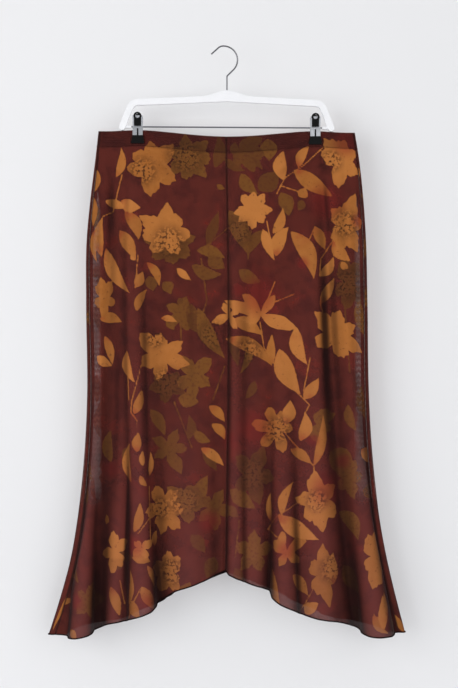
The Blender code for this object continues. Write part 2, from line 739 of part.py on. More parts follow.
def jaw_outline():
    """The jaw's pad with the tongue that runs up the leaf's slot, top of the pad at 0."""
    top = JAW_TOP_WIDTH / 2
    foot = JAW_FOOT_WIDTH / 2
    tongue = TONGUE_WIDTH / 2
    lip = JAW_LIP - JAW_HEIGHT
    right = [(top, 0.0), (foot, lip), (foot, -JAW_HEIGHT)]
    left = [(-x, z) for x, z in reversed(right)]
    over = [(-tongue, 0.0), (-tongue, TONGUE_HEIGHT), (tongue, TONGUE_HEIGHT), (tongue, 0.0)]
    return [over + right + left]


def slot_cutter(name, cutters):
    """The block that cuts a leaf's slot, open at its foot."""
    slot = bpy.data.objects.new(name, bpy.data.meshes.new(name))
    build = bmesh.new()
    bmesh.ops.create_cube(build, size=1.0)
    size = (SLOT_WIDTH, SLOT_CUT_FAR - SLOT_CUT_NEAR, 2 * (SLOT_TOP - LEAF_FOOT))
    middle = (0.0, -(SLOT_CUT_NEAR + SLOT_CUT_FAR) / 2, LEAF_FOOT)
    bmesh.ops.scale(build, vec=size, verts=build.verts[:])
    bmesh.ops.translate(build, vec=middle, verts=build.verts[:])
    build.to_mesh(slot.data)
    build.free()
    cutters.objects.link(slot)
    return as_cutter(slot)


def build_spring(name, place, material, collection):
    """The steel strip that rides over the bar and pushes the leaves apart."""
    radius = SPRING_INNER + SPRING_THICK
    crown = [(radius * math.cos(t), radius * math.sin(t)) for t in np.linspace(0, math.pi, 9)]
    profile = [(radius, SPRING_FOOT)] + crown + [(-radius, SPRING_FOOT)]
    spring = strip(name, profile, SPRING_THICK, SPRING_WIDTH, material, collection)
    spring.location = place


def build_clip(side, place, steel, black, collection, cutters):
    """One clip: spring over the bar, and a leaf, a lever and a jaw on the front and the back."""
    build_spring("clip_%s_spring" % side, place, steel, collection)
    hold = GRIP_DEPTH + GAP
    seat = SPRING_INNER + SPRING_THICK + 2 * GAP
    lean = math.atan2(LEAF_LEAN, LEAF_TOP - LEAF_WAIST)
    lever_off = seat + LEAF_THICK + 2 * GAP + LEVER_THICK / 2
    for face, turn in (("front", 0.0), ("back", math.pi)):
        name = "clip_%s_%s_" % (side, face)
        upper = [(-seat - LEAF_LEAN, LEAF_TOP), (-seat, LEAF_WAIST)]
        line = upper + [(-hold, LEAF_STRAIGHT), (-hold, LEAF_FOOT)]
        leaf = strip(name + "leaf", line, LEAF_THICK, LEAF_WIDTH, steel, collection)
        slot = slot_cutter(name + "slot", cutters)
        join_or_cut(leaf, slot, "DIFFERENCE")
        lever = flat_plate(name + "lever", lever_outline(), LEVER_THICK, black, collection)
        lever_place = Matrix.Translation((0.0, -lever_off, LEAF_WAIST))
        lever.data.transform(lever_place @ Matrix.Rotation(lean, 4, "X"))
        jaw = flat_plate(name + "jaw", jaw_outline(), JAW_THICK, black, collection)
        jaw.data.transform(Matrix.Translation((0.0, -hold - JAW_THICK / 2, LEAF_FOOT - GAP)))
        round_edges(lever, SMALL_EDGE)
        round_edges(jaw, SMALL_EDGE)
        for piece in (leaf, lever, jaw, slot):
            piece.matrix_world = Matrix.Translation(place) @ Matrix.Rotation(turn, 4, "Z")


def main():
    for obj in list(bpy.data.objects):
        bpy.data.objects.remove(obj)
    skirt = bpy.data.collections.new("midi_skirt_on_clip_hanger")
    cutters = bpy.data.collections.new("cutters")
    bpy.context.scene.collection.children.link(skirt)
    bpy.context.scene.collection.children.link(cutters)

    printed = material_of("printed_mesh", (0.10, 0.022, 0.018), 0.75)
    inside = material_of("casing", (0.05, 0.012, 0.012), 0.8)
    lining = material_of("lining", (0.04, 0.010, 0.009), 0.7)
    white = material_of("white_plastic", (0.85, 0.86, 0.86), 0.35)
    steel = material_of("steel", (0.45, 0.46, 0.48), 0.3, 1.0)
    black = material_of("black_plastic", (0.015, 0.015, 0.017), 0.4)

    for panel in ("front_left", "front_right", "back_right", "back_left"):
        mesh_panel(panel, printed, skirt)
    for piece, material, name in ((casing_piece, inside, "casing"), (lining_piece, lining, "lining")):
        piece(name + "_front", ("front_left", "front_right"), material, skirt)
        piece(name + "_back", ("back_right", "back_left"), material, skirt)

    frame = build_frame(white, skirt, cutters)
    bar = build_bar(steel, skirt)
    build_hook(steel, skirt)
    tilted = Matrix.Translation((HANGER_X, 0.0, HANGER_TOP - HUMP_TOP))
    tilted = tilted @ Matrix.Rotation(HANGER_TILT, 4, "Y")
    for obj in [frame, bar] + [m.object for m in frame.modifiers if m.type == "BOOLEAN"]:
        obj.matrix_world = tilted @ Matrix.Translation(obj.location)
    for side, x in (("left", CLIP_LEFT), ("right", CLIP_RIGHT)):
        place = tilted @ Matrix.Translation((x - HANGER_X, 0.0, BAR_Z))
        build_clip(side, place.translation, steel, black, skirt, cutters)


main()
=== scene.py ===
# %% [markdown]
# # A printed mesh skirt on a clip hanger
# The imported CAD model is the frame: every cloth piece below is built in its space, in metres, and
# rides on its one body. The hanger keeps its CAD shapes and only gets better finishes. The cloth
# solids are replaced by thin sheets, because real mesh is thin and lets light through.

# %% Load the frame
import math

import bpy
import numpy as np
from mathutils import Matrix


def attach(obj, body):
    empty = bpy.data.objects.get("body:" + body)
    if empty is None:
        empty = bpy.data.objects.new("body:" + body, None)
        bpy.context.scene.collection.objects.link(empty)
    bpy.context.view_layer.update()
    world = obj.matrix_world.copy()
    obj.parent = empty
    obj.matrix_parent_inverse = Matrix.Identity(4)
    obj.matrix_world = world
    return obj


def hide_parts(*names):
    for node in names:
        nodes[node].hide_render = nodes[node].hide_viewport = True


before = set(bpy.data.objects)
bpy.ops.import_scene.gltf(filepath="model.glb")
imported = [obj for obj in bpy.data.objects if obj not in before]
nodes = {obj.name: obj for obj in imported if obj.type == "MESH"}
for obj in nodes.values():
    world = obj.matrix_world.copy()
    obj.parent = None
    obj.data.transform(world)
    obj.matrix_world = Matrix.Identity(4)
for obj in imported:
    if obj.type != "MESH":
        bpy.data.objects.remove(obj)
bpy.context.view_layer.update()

# %% [markdown]
# ## The camera
# The picture was taken level with the skirt's middle from two and a half metres. A pixel of it is
# 1.75 mm in the plane of the hanger, so the lens follows from the frame's height and the distance.

# %% Camera
STEP = 0.00175
PICTURE_WIDTH = 458
PICTURE_HEIGHT = 688
HOOK_COLUMN = 223.5
HOOK_ROW = 46.75
CAMERA_DISTANCE = 2.55


def place(column_px, row_px):
    """World x and z of a place in the picture, in the hanger's plane."""
    return (column_px - HOOK_COLUMN) * STEP, (HOOK_ROW - row_px) * STEP


camera_data = bpy.data.cameras.new("camera")
camera_data.sensor_fit = "VERTICAL"
camera_data.angle = 2 * math.atan(PICTURE_HEIGHT * STEP / 2 / CAMERA_DISTANCE)
camera = bpy.data.objects.new("camera", camera_data)
bpy.context.scene.collection.objects.link(camera)
middle_x, middle_z = place(PICTURE_WIDTH / 2, PICTURE_HEIGHT / 2)
camera.location = (middle_x, -CAMERA_DISTANCE, middle_z)
camera.rotation_euler = (math.pi / 2, 0, 0)
bpy.context.scene.camera = camera
print("camera height", round(middle_z, 3), "field", round(math.degrees(camera_data.angle), 2))

# %% [markdown]
# ## The cloth as one tube
# At each height the skirt is one closed line: a front face, a back face and a turn at each side.
# The tables hold its sizes, and folds are added as bells that stand out of the line or dip into
# it. A cloth simulation could find such folds too, but not these ones in these places.

# %% Sizes of the cloth
# Wall of the mesh, gap at its seams, and how far down the casing and the lining reach
WALL = 0.0011
GAP = 0.0003
CASING_HEIGHT = 0.029
LINING_HEM = -0.891

# Waist edge: level at the clips, sagging between them, with the back edge a little higher
CLIP_LEFT = -0.1496
CLIP_RIGHT = 0.1610
WAIST_AT_CLIPS = -0.1474
WAIST_SAG = 0.0108
WAIST_END_DROP = 0.0022
WAIST_END_RUN = 0.055
BACK_RISE = 0.0018
BACK_RISE_AT_CLIPS = 0.0009

# Hem: its height by the share of a panel's cloth from the centre seam to the side seam. The back
# hangs a little lower at its centre, and the whole hem is a little higher on the right
HEM_COLUMNS = ("share", "z")
HEM = (
    (0.00, -0.9134),
    (0.08, -0.9255),
    (0.17, -0.9370),
    (0.26, -0.9485),
    (0.34, -0.9655),
    (0.45, -0.9850),
    (0.55, -0.9970),
    (0.66, -1.0055),
    (0.74, -1.0165),
    (0.82, -1.0265),
    (0.91, -1.0268),
    (1.00, -1.0250),
)
HEM_LEVEL = -0.990
HEM_LOW = -1.027
HEM_TILT = 0.0065
BACK_HEM_DROP = 0.0085

# Grip of the clips on the cloth
GRIP_DEPTH = 0.0031
GRIP_HALF_WIDTH = 0.018
GRIP_SPREAD = 0.075
GRIP_BOTTOM = -0.1725
GRIP_RELEASE = 0.11

# The tube at each height: its left and right edges, how far the front and the back stand off the
# middle plane, and the radius of the turn at the sides
BODY_COLUMNS = ("z", "left", "right", "front", "back", "turn")
BODY = (
    (-0.145, -0.2190, 0.2295, 0.0084, 0.0080, 0.0036),
    (-0.198, -0.2249, 0.2380, 0.0102, 0.0094, 0.0046),
    (-0.268, -0.2336, 0.2454, 0.0124, 0.0112, 0.0056),
    (-0.338, -0.2400, 0.2500, 0.0142, 0.0126, 0.0062),
    (-0.443, -0.2410, 0.2525, 0.0155, 0.0138, 0.0068),
    (-0.618, -0.2394, 0.2555, 0.0180, 0.0155, 0.0078),
    (-0.688, -0.2424, 0.2592, 0.0195, 0.0165, 0.0085),
    (-0.758, -0.2480, 0.2655, 0.0215, 0.0178, 0.0092),
    (-0.828, -0.2564, 0.2740, 0.0240, 0.0192, 0.0100),
    (-0.898, -0.2686, 0.2870, 0.0268, 0.0205, 0.0110),
    (-0.968, -0.2875, 0.3035, 0.0290, 0.0220, 0.0120),
    (-1.045, -0.3120, 0.3240, 0.0300, 0.0230, 0.0130),
)

# The lining at each height, a narrower tube inside it
LINING_COLUMNS = ("z", "left", "right", "front", "back", "turn")
LINING = (
    (-0.170, -0.2165, 0.2290, 0.0065, 0.0062, 0.0030),
    (-0.300, -0.2150, 0.2290, 0.0085, 0.0078, 0.0036),
    (-0.600, -0.2140, 0.2290, 0.0115, 0.0100, 0.0040),
    (-0.900, -0.2120, 0.2280, 0.0140, 0.0120, 0.0042),
)
LINING_FREE = 0.12
LINING_REACH = 0.009
LINING_CLEAR = 0.0010
LINING_SKIN_GAP = 0.0006

# Where the centre-front seam runs
CENTRE_SEAM_COLUMNS = ("z", "x")
CENTRE_SEAM = (
    (-0.150, 0.0045),
    (-0.450, 0.0090),
    (-0.750, 0.0085),
    (-1.045, 0.0045),
)

# %% [markdown]
# ## The folds
# Each row is one fold: where it starts, where it meets the hem, how wide and deep it is at both
# ends, and how far its sides are tucked in under it, so that it hangs as a flute.

# %% Table of folds
FOLD_COLUMNS = ("top_x", "top_z", "hem_x", "bend", "top_width", "hem_width", "top_depth",
                "hem_depth", "growth", "tuck")
FRONT_FOLDS = (
    (-0.222, -0.520, -0.2480, 1.0, 0.0100, 0.0130, 0.0010, 0.0300, 1.5, 1.8),
    (-0.192, -0.170, -0.2130, 1.3, 0.0100, 0.0120, -0.0022, -0.0090, 1.5, 0.0),
    (-0.172, -0.560, -0.1900, 1.0, 0.0140, 0.0130, 0.0000, 0.0100, 1.5, 0.6),
    (-0.160, -0.180, -0.1400, 0.9, 0.0120, 0.0160, 0.0016, 0.0330, 2.6, 1.9),
    (-0.128, -0.300, -0.1040, 1.0, 0.0140, 0.0120, -0.0010, -0.0080, 1.6, 0.0),
    (-0.070, -0.480, -0.0560, 1.0, 0.0300, 0.0290, 0.0000, 0.0140, 1.5, 0.5),
    (-0.016, -0.560, -0.0120, 1.0, 0.0120, 0.0090, 0.0000, -0.0070, 1.6, 0.0),
    (0.0220, -0.240, 0.0200, 1.0, 0.0120, 0.0100, 0.0012, 0.0190, 1.9, 1.8),
    (0.0560, -0.480, 0.0520, 1.0, 0.0180, 0.0160, 0.0000, 0.0120, 1.5, 0.4),
    (0.0800, -0.520, 0.0800, 1.0, 0.0110, 0.0090, 0.0000, -0.0090, 1.5, 0.0),
    (0.1000, -0.420, 0.1060, 1.0, 0.0150, 0.0150, 0.0008, 0.0300, 2.2, 1.9),
    (0.1450, -0.300, 0.1720, 1.5, 0.0280, 0.0270, 0.0014, 0.0150, 1.6, 0.4),
    (0.1700, -0.175, 0.2280, 1.8, 0.0110, 0.0110, -0.0024, -0.0100, 1.5, 0.0),
    (0.2150, -0.480, 0.2680, 1.4, 0.0130, 0.0170, 0.0010, 0.0330, 1.7, 1.9),
)
BACK_FOLDS = (
    (-0.205, -0.480, -0.2450, 1.2, 0.0130, 0.0170, 0.0008, 0.0260, 1.8, 1.7),
    (-0.150, -0.175, -0.1900, 1.5, 0.0120, 0.0110, -0.0020, -0.0070, 1.6, 0.0),
    (-0.130, -0.320, -0.1320, 1.0, 0.0170, 0.0190, 0.0010, 0.0240, 2.0, 1.6),
    (-0.075, -0.560, -0.0720, 1.0, 0.0160, 0.0140, 0.0000, 0.0160, 1.6, 1.0),
    (-0.020, -0.500, -0.0260, 1.0, 0.0130, 0.0120, 0.0000, 0.0120, 1.6, 0.8),
    (0.0400, -0.520, 0.0420, 1.0, 0.0150, 0.0170, 0.0000, 0.0170, 1.6, 1.0),
    (0.0880, -0.460, 0.0940, 1.0, 0.0150, 0.0120, 0.0000, -0.0070, 1.6, 0.0),
    (0.1300, -0.300, 0.1420, 1.2, 0.0170, 0.0190, 0.0010, 0.0250, 2.1, 1.7),
    (0.1680, -0.180, 0.2050, 1.6, 0.0120, 0.0110, -0.0020, -0.0070, 1.6, 0.0),
    (0.2150, -0.500, 0.2600, 1.3, 0.0130, 0.0160, 0.0008, 0.0250, 1.8, 1.7),
)
FOLD_FADE_IN = 0.12
EDGE_CALM = 0.012
SEAM_CREASE_DEPTH = 0.0011
SEAM_CREASE_HEM = 0.0050
SEAM_CREASE_WIDTH = 0.0065
TURN_SHARE = 0.2
HANGER_X = 0.0060
HANGER_TILT = 0.0062

# %% Smooth curves through the tables
def column(table, columns, name, place, key="z"):
    """One column of a table at a place of its key column, on a smooth curve through its rows."""
    rows = np.array(sorted(table, key=lambda row: row[columns.index(key)]))
    places = rows[:, columns.index(key)]
    values = rows[:, columns.index(name)]
    slopes = np.gradient(values, places)
    place = np.clip(place, places[0], places[-1])
    i = np.clip(np.searchsorted(places, place) - 1, 0, len(places) - 2)
    step = places[i + 1] - places[i]
    t = (place - places[i]) / step
    start = values[i] * (1 + 2 * t) * (1 - t) ** 2 + slopes[i] * step * t * (1 - t) ** 2
    end = values[i + 1] * t * t * (3 - 2 * t) - slopes[i + 1] * step * t * t * (1 - t)
    return start + end


def ease(t):
    """0 to 1 with level ends."""
    t = np.clip(t, 0.0, 1.0)
    return t * t * (3 - 2 * t)

# %% Folds, grip of the clips and base lines
def fold_line(fold, z, furthest=1.05):
    """How far down a fold the height z is, and the fold's middle and width there."""
    t = np.clip((fold["top_z"] - z) / (fold["top_z"] - HEM_LOW), 0.0, furthest)
    middle = fold["top_x"] + (fold["hem_x"] - fold["top_x"]) * t ** fold["bend"]
    width = fold["top_width"] + (fold["hem_width"] - fold["top_width"]) * t
    return t, middle, width


def fold_shift(table, x, z):
    """How far a table's folds move the cloth sideways and outward at x and z."""
    sideways = np.zeros_like(x)
    outward = np.zeros_like(x)
    for row in table:
        fold = dict(zip(FOLD_COLUMNS, row))
        t, middle, width = fold_line(fold, z)
        grown = t ** fold["growth"]
        depth = fold["top_depth"] + (fold["hem_depth"] - fold["top_depth"]) * grown
        depth = depth * ease((fold["top_z"] - z) / FOLD_FADE_IN)
        u = (x - middle) / width
        bell = np.exp(-u * u)
        sideways += fold["tuck"] * width * u * bell * grown
        outward += depth * bell
    return sideways, outward


def grip(x, z):
    """1 where a clip holds the cloth flat, falling to 0 away from it."""
    off = np.minimum(abs(x - CLIP_LEFT), abs(x - CLIP_RIGHT)) - GRIP_HALF_WIDTH
    beside = 1 - ease(off / GRIP_SPREAD)
    below = 1 - ease((GRIP_BOTTOM - z) / GRIP_RELEASE)
    return beside * below


def centre_seam(z):
    return column(CENTRE_SEAM, CENTRE_SEAM_COLUMNS, "x", z)


def body(name, z):
    return column(BODY, BODY_COLUMNS, name, z)


def span_depth(x, z, side):
    """Distance of the front's or back's base line from the middle plane."""
    turn = body("turn", z)
    left = body("left", z) + turn
    right = body("right", z) - turn
    u = np.clip(2 * (x - left) / (right - left) - 1, -1.0, 1.0)
    depth = turn + (body(side, z) - turn) * (1 - u * u)
    held = grip(x, z)
    return depth * (1 - held) + np.minimum(depth, GRIP_DEPTH) * held


def face_line(x, z, side):
    """The front or back of the tube at base place x, with its folds."""
    sign = -1.0 if side == "front" else 1.0
    folds = FRONT_FOLDS if side == "front" else BACK_FOLDS
    sideways, outward = fold_shift(folds, x, z)
    t = np.clip((WAIST_AT_CLIPS - z) / (WAIST_AT_CLIPS - HEM_LOW), 0.0, 1.0)
    crease = SEAM_CREASE_DEPTH + (SEAM_CREASE_HEM - SEAM_CREASE_DEPTH) * t
    crease = crease * np.exp(-(((x - centre_seam(z)) / SEAM_CREASE_WIDTH) ** 2))
    free = 1 - grip(x, z)
    turn = body("turn", z)
    from_edge = np.minimum(x - body("left", z) - turn, body("right", z) - turn - x)
    inside = ease(from_edge / EDGE_CALM)
    depth = span_depth(x, z, side) + (outward - crease) * free * inside
    return x + sideways * inside, sign * depth


def turn_line(share, z, edge):
    """The turn at a side edge: share 0 at the front seam, 1 at the back."""
    turn = body("turn", z)
    angle = np.pi * (share - 0.5)
    sign = 1.0 if edge == "right" else -1.0
    centre = body(edge, z) - sign * turn
    return centre + sign * turn * np.cos(angle), turn * np.sin(angle)

# %% The outline of each panel
def side_of(panel):
    return "front" if panel.startswith("front") else "back"


def walked(x, y):
    """Length walked along a line of points, from 0 at its first point."""
    return np.concatenate([[0.0], np.cumsum(np.hypot(np.diff(x), np.diff(y)))])


def outline(panel, a, z):
    """A point of a panel's outer face: a runs 0 to 1 anticlockwise as seen from above."""
    turn = body("turn", z)
    left = body("left", z) + turn
    right = body("right", z) - turn
    seam = centre_seam(z)
    half_gap = GAP / 2
    if panel == "front_left":
        return face_line(left + half_gap + (seam - left - 2 * half_gap) * a, z, "front")
    if panel == "front_right":
        return face_line(seam + half_gap + (right - seam - 2 * half_gap) * a, z, "front")
    lead = half_gap / (np.pi * turn)
    if panel == "back_right":
        round_part = np.clip(a / TURN_SHARE, 0.0, 1.0)
        flat_part = np.clip((a - TURN_SHARE) / (1 - TURN_SHARE), 0.0, 1.0)
        edge, first, last = "right", right, seam + half_gap
        share = lead + (1 - lead) * round_part
        on_turn = a <= TURN_SHARE
    else:
        round_part = np.clip((a - 1 + TURN_SHARE) / TURN_SHARE, 0.0, 1.0)
        flat_part = np.clip(a / (1 - TURN_SHARE), 0.0, 1.0)
        edge, first, last = "left", seam - half_gap, left
        share = 1 - (1 - lead) * round_part
        on_turn = a >= 1 - TURN_SHARE
    face_x, face_y = face_line(first + (last - first) * flat_part, z, "back")
    turn_x, turn_y = turn_line(share, z, edge)
    return np.where(on_turn, turn_x, face_x), np.where(on_turn, turn_y, face_y)


def inward(panel, a, z, offset):
    """The outline moved in by an offset, level."""
    step = 0.001
    x, y = outline(panel, a, z)
    x0, y0 = outline(panel, np.clip(a - step, 0, 1), z)
    x1, y1 = outline(panel, np.clip(a + step, 0, 1), z)
    length = np.hypot(x1 - x0, y1 - y0)
    return x - offset * (y1 - y0) / length, y + offset * (x1 - x0) / length

# %% The outline of the lining
def room_inside(x, z, side):
    """How far from the middle plane the lining may reach under the mesh near x."""
    spots = [abs(face_line(x + reach, z, side)[1]) for reach in (-LINING_REACH, 0.0, LINING_REACH)]
    return np.minimum.reduce(spots) - WALL - LINING_CLEAR


def lining_outline(panel, a, z):
    """The lining's outer face: on the mesh's inside at the casing, its own tube lower down."""
    near_x, near_y = inward(panel, a, z, WALL + LINING_SKIN_GAP)
    turn = column(LINING, LINING_COLUMNS, "turn", z)
    left = column(LINING, LINING_COLUMNS, "left", z)
    right = column(LINING, LINING_COLUMNS, "right", z)
    base_x, base_y = outline(panel, a, z)
    share = (base_x - body("left", z)) / (body("right", z) - body("left", z))
    x = left + (right - left) * np.clip(share, 0.0, 1.0)
    side = side_of(panel)
    depth = column(LINING, LINING_COLUMNS, side, z)
    u = np.clip(2 * (x - left) / (right - left) - 1, -1.0, 1.0)
    height = np.minimum(turn + (depth - turn) * (1 - u * u), room_inside(x, z, side))
    edge = np.minimum(x - left, right - x)
    round_off = np.sqrt(np.clip(1 - (1 - np.clip(edge / turn, 0.0, 1.0)) ** 2, 0.0, 1.0))
    y = height * round_off * np.where(base_y < 0, -1.0, 1.0)
    free = ease((waist_edge(base_x, side) - CASING_HEIGHT - z) / LINING_FREE)
    return near_x + (x - near_x) * free, near_y + (y - near_y) * free

# %% The waist's edge and the hem's edge
def waist_edge(x, side):
    """Height of the waist's top edge."""
    middle = (CLIP_LEFT + CLIP_RIGHT) / 2
    half = (CLIP_RIGHT - CLIP_LEFT) / 2
    u = (x - middle) / half
    sag = WAIST_SAG * np.where(abs(u) < 1, (1 - np.clip(u * u, 0, 1)) ** 2, 0.0)
    drop = WAIST_END_DROP * ease((abs(x - middle) - half) / WAIST_END_RUN)
    rise = BACK_RISE + (BACK_RISE_AT_CLIPS - BACK_RISE) * ease(abs(u)) if side == "back" else 0.0
    tilt = -HANGER_TILT * (x - HANGER_X)
    return WAIST_AT_CLIPS - sag - drop + tilt + rise


def hem_edge(panel, a):
    """Height of the hem, from the length of cloth between the centre seam and this place."""
    places = np.linspace(0.0, 1.0, 600)
    level = np.full_like(places, HEM_LEVEL)
    x, y = outline(panel, places, level)
    along = walked(x, y)
    along = along / along[-1]
    from_centre = np.interp(a, places, along)
    if panel in ("front_left", "back_right"):
        from_centre = 1 - from_centre
    height = column(HEM, HEM_COLUMNS, "z", from_centre, "share")
    drop = BACK_HEM_DROP * (1 - from_centre) if side_of(panel) == "back" else 0.0
    return height - drop + HEM_TILT * np.interp(a, places, x)


def waist_of(panel, a):
    """Height of the top edge over a panel's place a."""
    x, _ = outline(panel, a, np.full_like(a, WAIST_AT_CLIPS))
    side = side_of(panel)
    edge = waist_edge(x, side)
    if side == "back":
        near_turn = a / TURN_SHARE if panel == "back_right" else (1 - a) / TURN_SHARE
        edge = waist_edge(x, "front") + (edge - waist_edge(x, "front")) * ease(near_turn)
    return edge

# %% [markdown]
# ## Small creases
# The big folds come from the tube. Between them the mesh has small soft creases: lines that fan
# out under the clips, long upright ones where the cloth hangs free, and a fine ripple along the
# hem. Each one is a short bell along a line, listed one by one, so no two are alike.

# %% Creases, listed one by one
# x and z where it starts, x and z where it ends, half width, height (a trough is below 0)
CREASE_COLUMNS = ("x0", "z0", "x1", "z1", "width", "height")
FRONT_CREASES = (
    (-0.204, -0.168, -0.214, -0.470, 0.0052, 0.0017),
    (-0.194, -0.175, -0.200, -0.400, 0.0040, -0.0013),
    (-0.183, -0.172, -0.184, -0.340, 0.0048, 0.0014),
    (-0.215, -0.300, -0.226, -0.620, 0.0046, -0.0012),
    (-0.168, -0.190, -0.166, -0.330, 0.0042, -0.0010),
    (-0.139, -0.172, -0.112, -0.300, 0.0045, 0.0012),
    (-0.132, -0.168, -0.076, -0.232, 0.0050, 0.0011),
    (-0.128, -0.164, -0.040, -0.190, 0.0048, -0.0009),
    (-0.096, -0.260, -0.084, -0.520, 0.0080, 0.0014),
    (-0.060, -0.330, -0.052, -0.700, 0.0090, -0.0013),
    (-0.036, -0.210, -0.040, -0.560, 0.0075, 0.0009),
    (0.036, -0.260, 0.040, -0.480, 0.0060, 0.0010),
    (0.066, -0.300, 0.060, -0.640, 0.0080, -0.0011),
    (0.146, -0.170, 0.118, -0.280, 0.0046, 0.0012),
    (0.140, -0.166, 0.078, -0.236, 0.0048, 0.0010),
    (0.136, -0.162, 0.052, -0.186, 0.0050, -0.0008),
    (0.172, -0.172, 0.186, -0.360, 0.0048, -0.0014),
    (0.184, -0.176, 0.204, -0.420, 0.0050, 0.0015),
    (0.206, -0.170, 0.218, -0.380, 0.0044, -0.0012),
    (0.214, -0.210, 0.232, -0.560, 0.0050, 0.0013),
    (0.156, -0.360, 0.164, -0.700, 0.0090, 0.0013),
    (-0.020, -0.640, -0.026, -0.900, 0.0070, 0.0012),
    (0.122, -0.560, 0.132, -0.860, 0.0070, -0.0012),
    (-0.176, -0.600, -0.178, -0.880, 0.0060, 0.0012),
    (-0.163, -0.250, -0.160, -0.850, 0.0070, 0.0026),
    (-0.141, -0.360, -0.128, -0.880, 0.0100, -0.0027),
    (-0.183, -0.420, -0.191, -0.900, 0.0075, -0.0024),
    (-0.208, -0.460, -0.226, -0.860, 0.0080, 0.0022),
    (0.160, -0.330, 0.173, -0.860, 0.0085, 0.0025),
    (0.181, -0.260, 0.213, -0.860, 0.0085, -0.0028),
    (0.206, -0.330, 0.241, -0.860, 0.0075, 0.0024),
    (0.092, -0.480, 0.094, -0.880, 0.0075, 0.0020),
    (0.044, -0.560, 0.046, -0.880, 0.0080, 0.0017),
    (-0.104, -0.560, -0.098, -0.900, 0.0090, 0.0020),
    (0.020, -0.330, 0.019, -0.860, 0.0070, 0.0019),
)
BACK_CREASES = (
    (-0.206, -0.172, -0.216, -0.440, 0.0050, 0.0015),
    (-0.186, -0.170, -0.188, -0.360, 0.0044, -0.0012),
    (-0.136, -0.172, -0.104, -0.290, 0.0048, 0.0011),
    (-0.130, -0.166, -0.060, -0.214, 0.0050, 0.0010),
    (-0.100, -0.300, -0.096, -0.620, 0.0080, -0.0012),
    (-0.050, -0.250, -0.046, -0.560, 0.0080, 0.0012),
    (0.010, -0.300, 0.016, -0.640, 0.0070, -0.0010),
    (0.060, -0.240, 0.064, -0.520, 0.0070, 0.0012),
    (0.142, -0.170, 0.110, -0.270, 0.0046, 0.0012),
    (0.138, -0.164, 0.066, -0.208, 0.0050, -0.0009),
    (0.178, -0.172, 0.190, -0.380, 0.0048, 0.0013),
    (0.212, -0.180, 0.226, -0.500, 0.0050, -0.0013),
    (0.110, -0.420, 0.112, -0.760, 0.0080, 0.0012),
    (-0.160, -0.420, -0.166, -0.780, 0.0070, -0.0012),
)
HEM_RIPPLE = 0.0009
HEM_RIPPLE_REACH = 0.016
CREASE_FADE_IN = 0.35
CREASE_FADE_OUT = 0.45


def crease_height(table, x, z):
    """How far a table's small creases lift the cloth at x and z."""
    lift = np.zeros_like(x)
    for row in table:
        c = dict(zip(CREASE_COLUMNS, row))
        run_x, run_z = c["x1"] - c["x0"], c["z1"] - c["z0"]
        length = math.hypot(run_x, run_z)
        along = ((x - c["x0"]) * run_x + (z - c["z0"]) * run_z) / length**2
        across = ((x - c["x0"]) * run_z - (z - c["z0"]) * run_x) / length
        ends = ease(along / CREASE_FADE_IN) * ease((1 - along) / CREASE_FADE_OUT)
        lift += c["height"] * np.exp(-((across / c["width"]) ** 2)) * ends
    return lift


def ripple(distance, seed):
    """An uneven wave along the hem, from three waves whose lengths share no whole number."""
    return (np.sin(distance / 0.0031 + seed) + 0.7 * np.sin(distance / 0.0052 + 2.1 * seed)
            + 0.5 * np.sin(distance / 0.0017 + 3.7 * seed)) / 2.2

# %% [markdown]
# ## Sheets
# A cloth panel is one layer of points, in rows from the waist down to the hem. Its normals face
# out. It carries a neat UV map and its own flat coordinates: the length of cloth from the centre
# seam, and the height. The print is drawn in those, so it bends with the folds as real print does.

# %% Helpers for sheets
PANELS = ("front_left", "front_right", "back_right", "back_left")
SHEET_ROWS = 350
SHEET_COLUMNS = 184
SHEET_INSET = WALL / 2


def link_mesh(name, points, faces, smooth=True):
    """A linked mesh object."""
    mesh = bpy.data.meshes.new(name)
    mesh.from_pydata(np.asarray(points).tolist(), [], np.asarray(faces).tolist())
    mesh.update()
    mesh.polygons.foreach_set("use_smooth", np.full(len(mesh.polygons), smooth))
    obj = bpy.data.objects.new(name, mesh)
    bpy.context.scene.collection.objects.link(obj)
    return obj


def grid_faces(rows, columns):
    """Quads of a grid of points, facing out for rows that run down."""
    corner = (np.arange(rows - 1)[:, None] * columns + np.arange(columns - 1)[None, :]).ravel()
    return np.stack([corner, corner + columns, corner + columns + 1, corner + 1], axis=1)


def sheet_object(name, grid, values=None):
    """A single-layer sheet from a grid of points, with its UV map and values for each point."""
    rows, columns = grid.shape[:2]
    obj = link_mesh(name, grid.reshape(-1, 3), grid_faces(rows, columns))
    u, v = np.meshgrid(np.linspace(0.01, 0.99, columns), np.linspace(0.99, 0.01, rows))
    uv = obj.data.uv_layers.new(name="OFBake")
    loops = np.zeros(len(obj.data.loops), dtype=np.int32)
    obj.data.loops.foreach_get("vertex_index", loops)
    uv.data.foreach_set("uv", np.stack([u.ravel()[loops], v.ravel()[loops]], axis=1).ravel())
    for key, value in (values or {}).items():
        layer = obj.data.attributes.new(key, "FLOAT", "POINT")
        layer.data.foreach_set("value", np.asarray(value, dtype=np.float32).ravel())
    return obj


def area_of(obj):
    """Area of a mesh's faces."""
    return sum(face.area for face in obj.data.polygons)

# %% Points of a panel at any inset
# Small creases end this far below the waist, from a side's turn and from a seam
CALM_AT_WAIST = 0.03
CALM_AT_TURN = 0.004
CALM_AT_SEAM = 0.010
SPREAD_LEVEL = -0.93


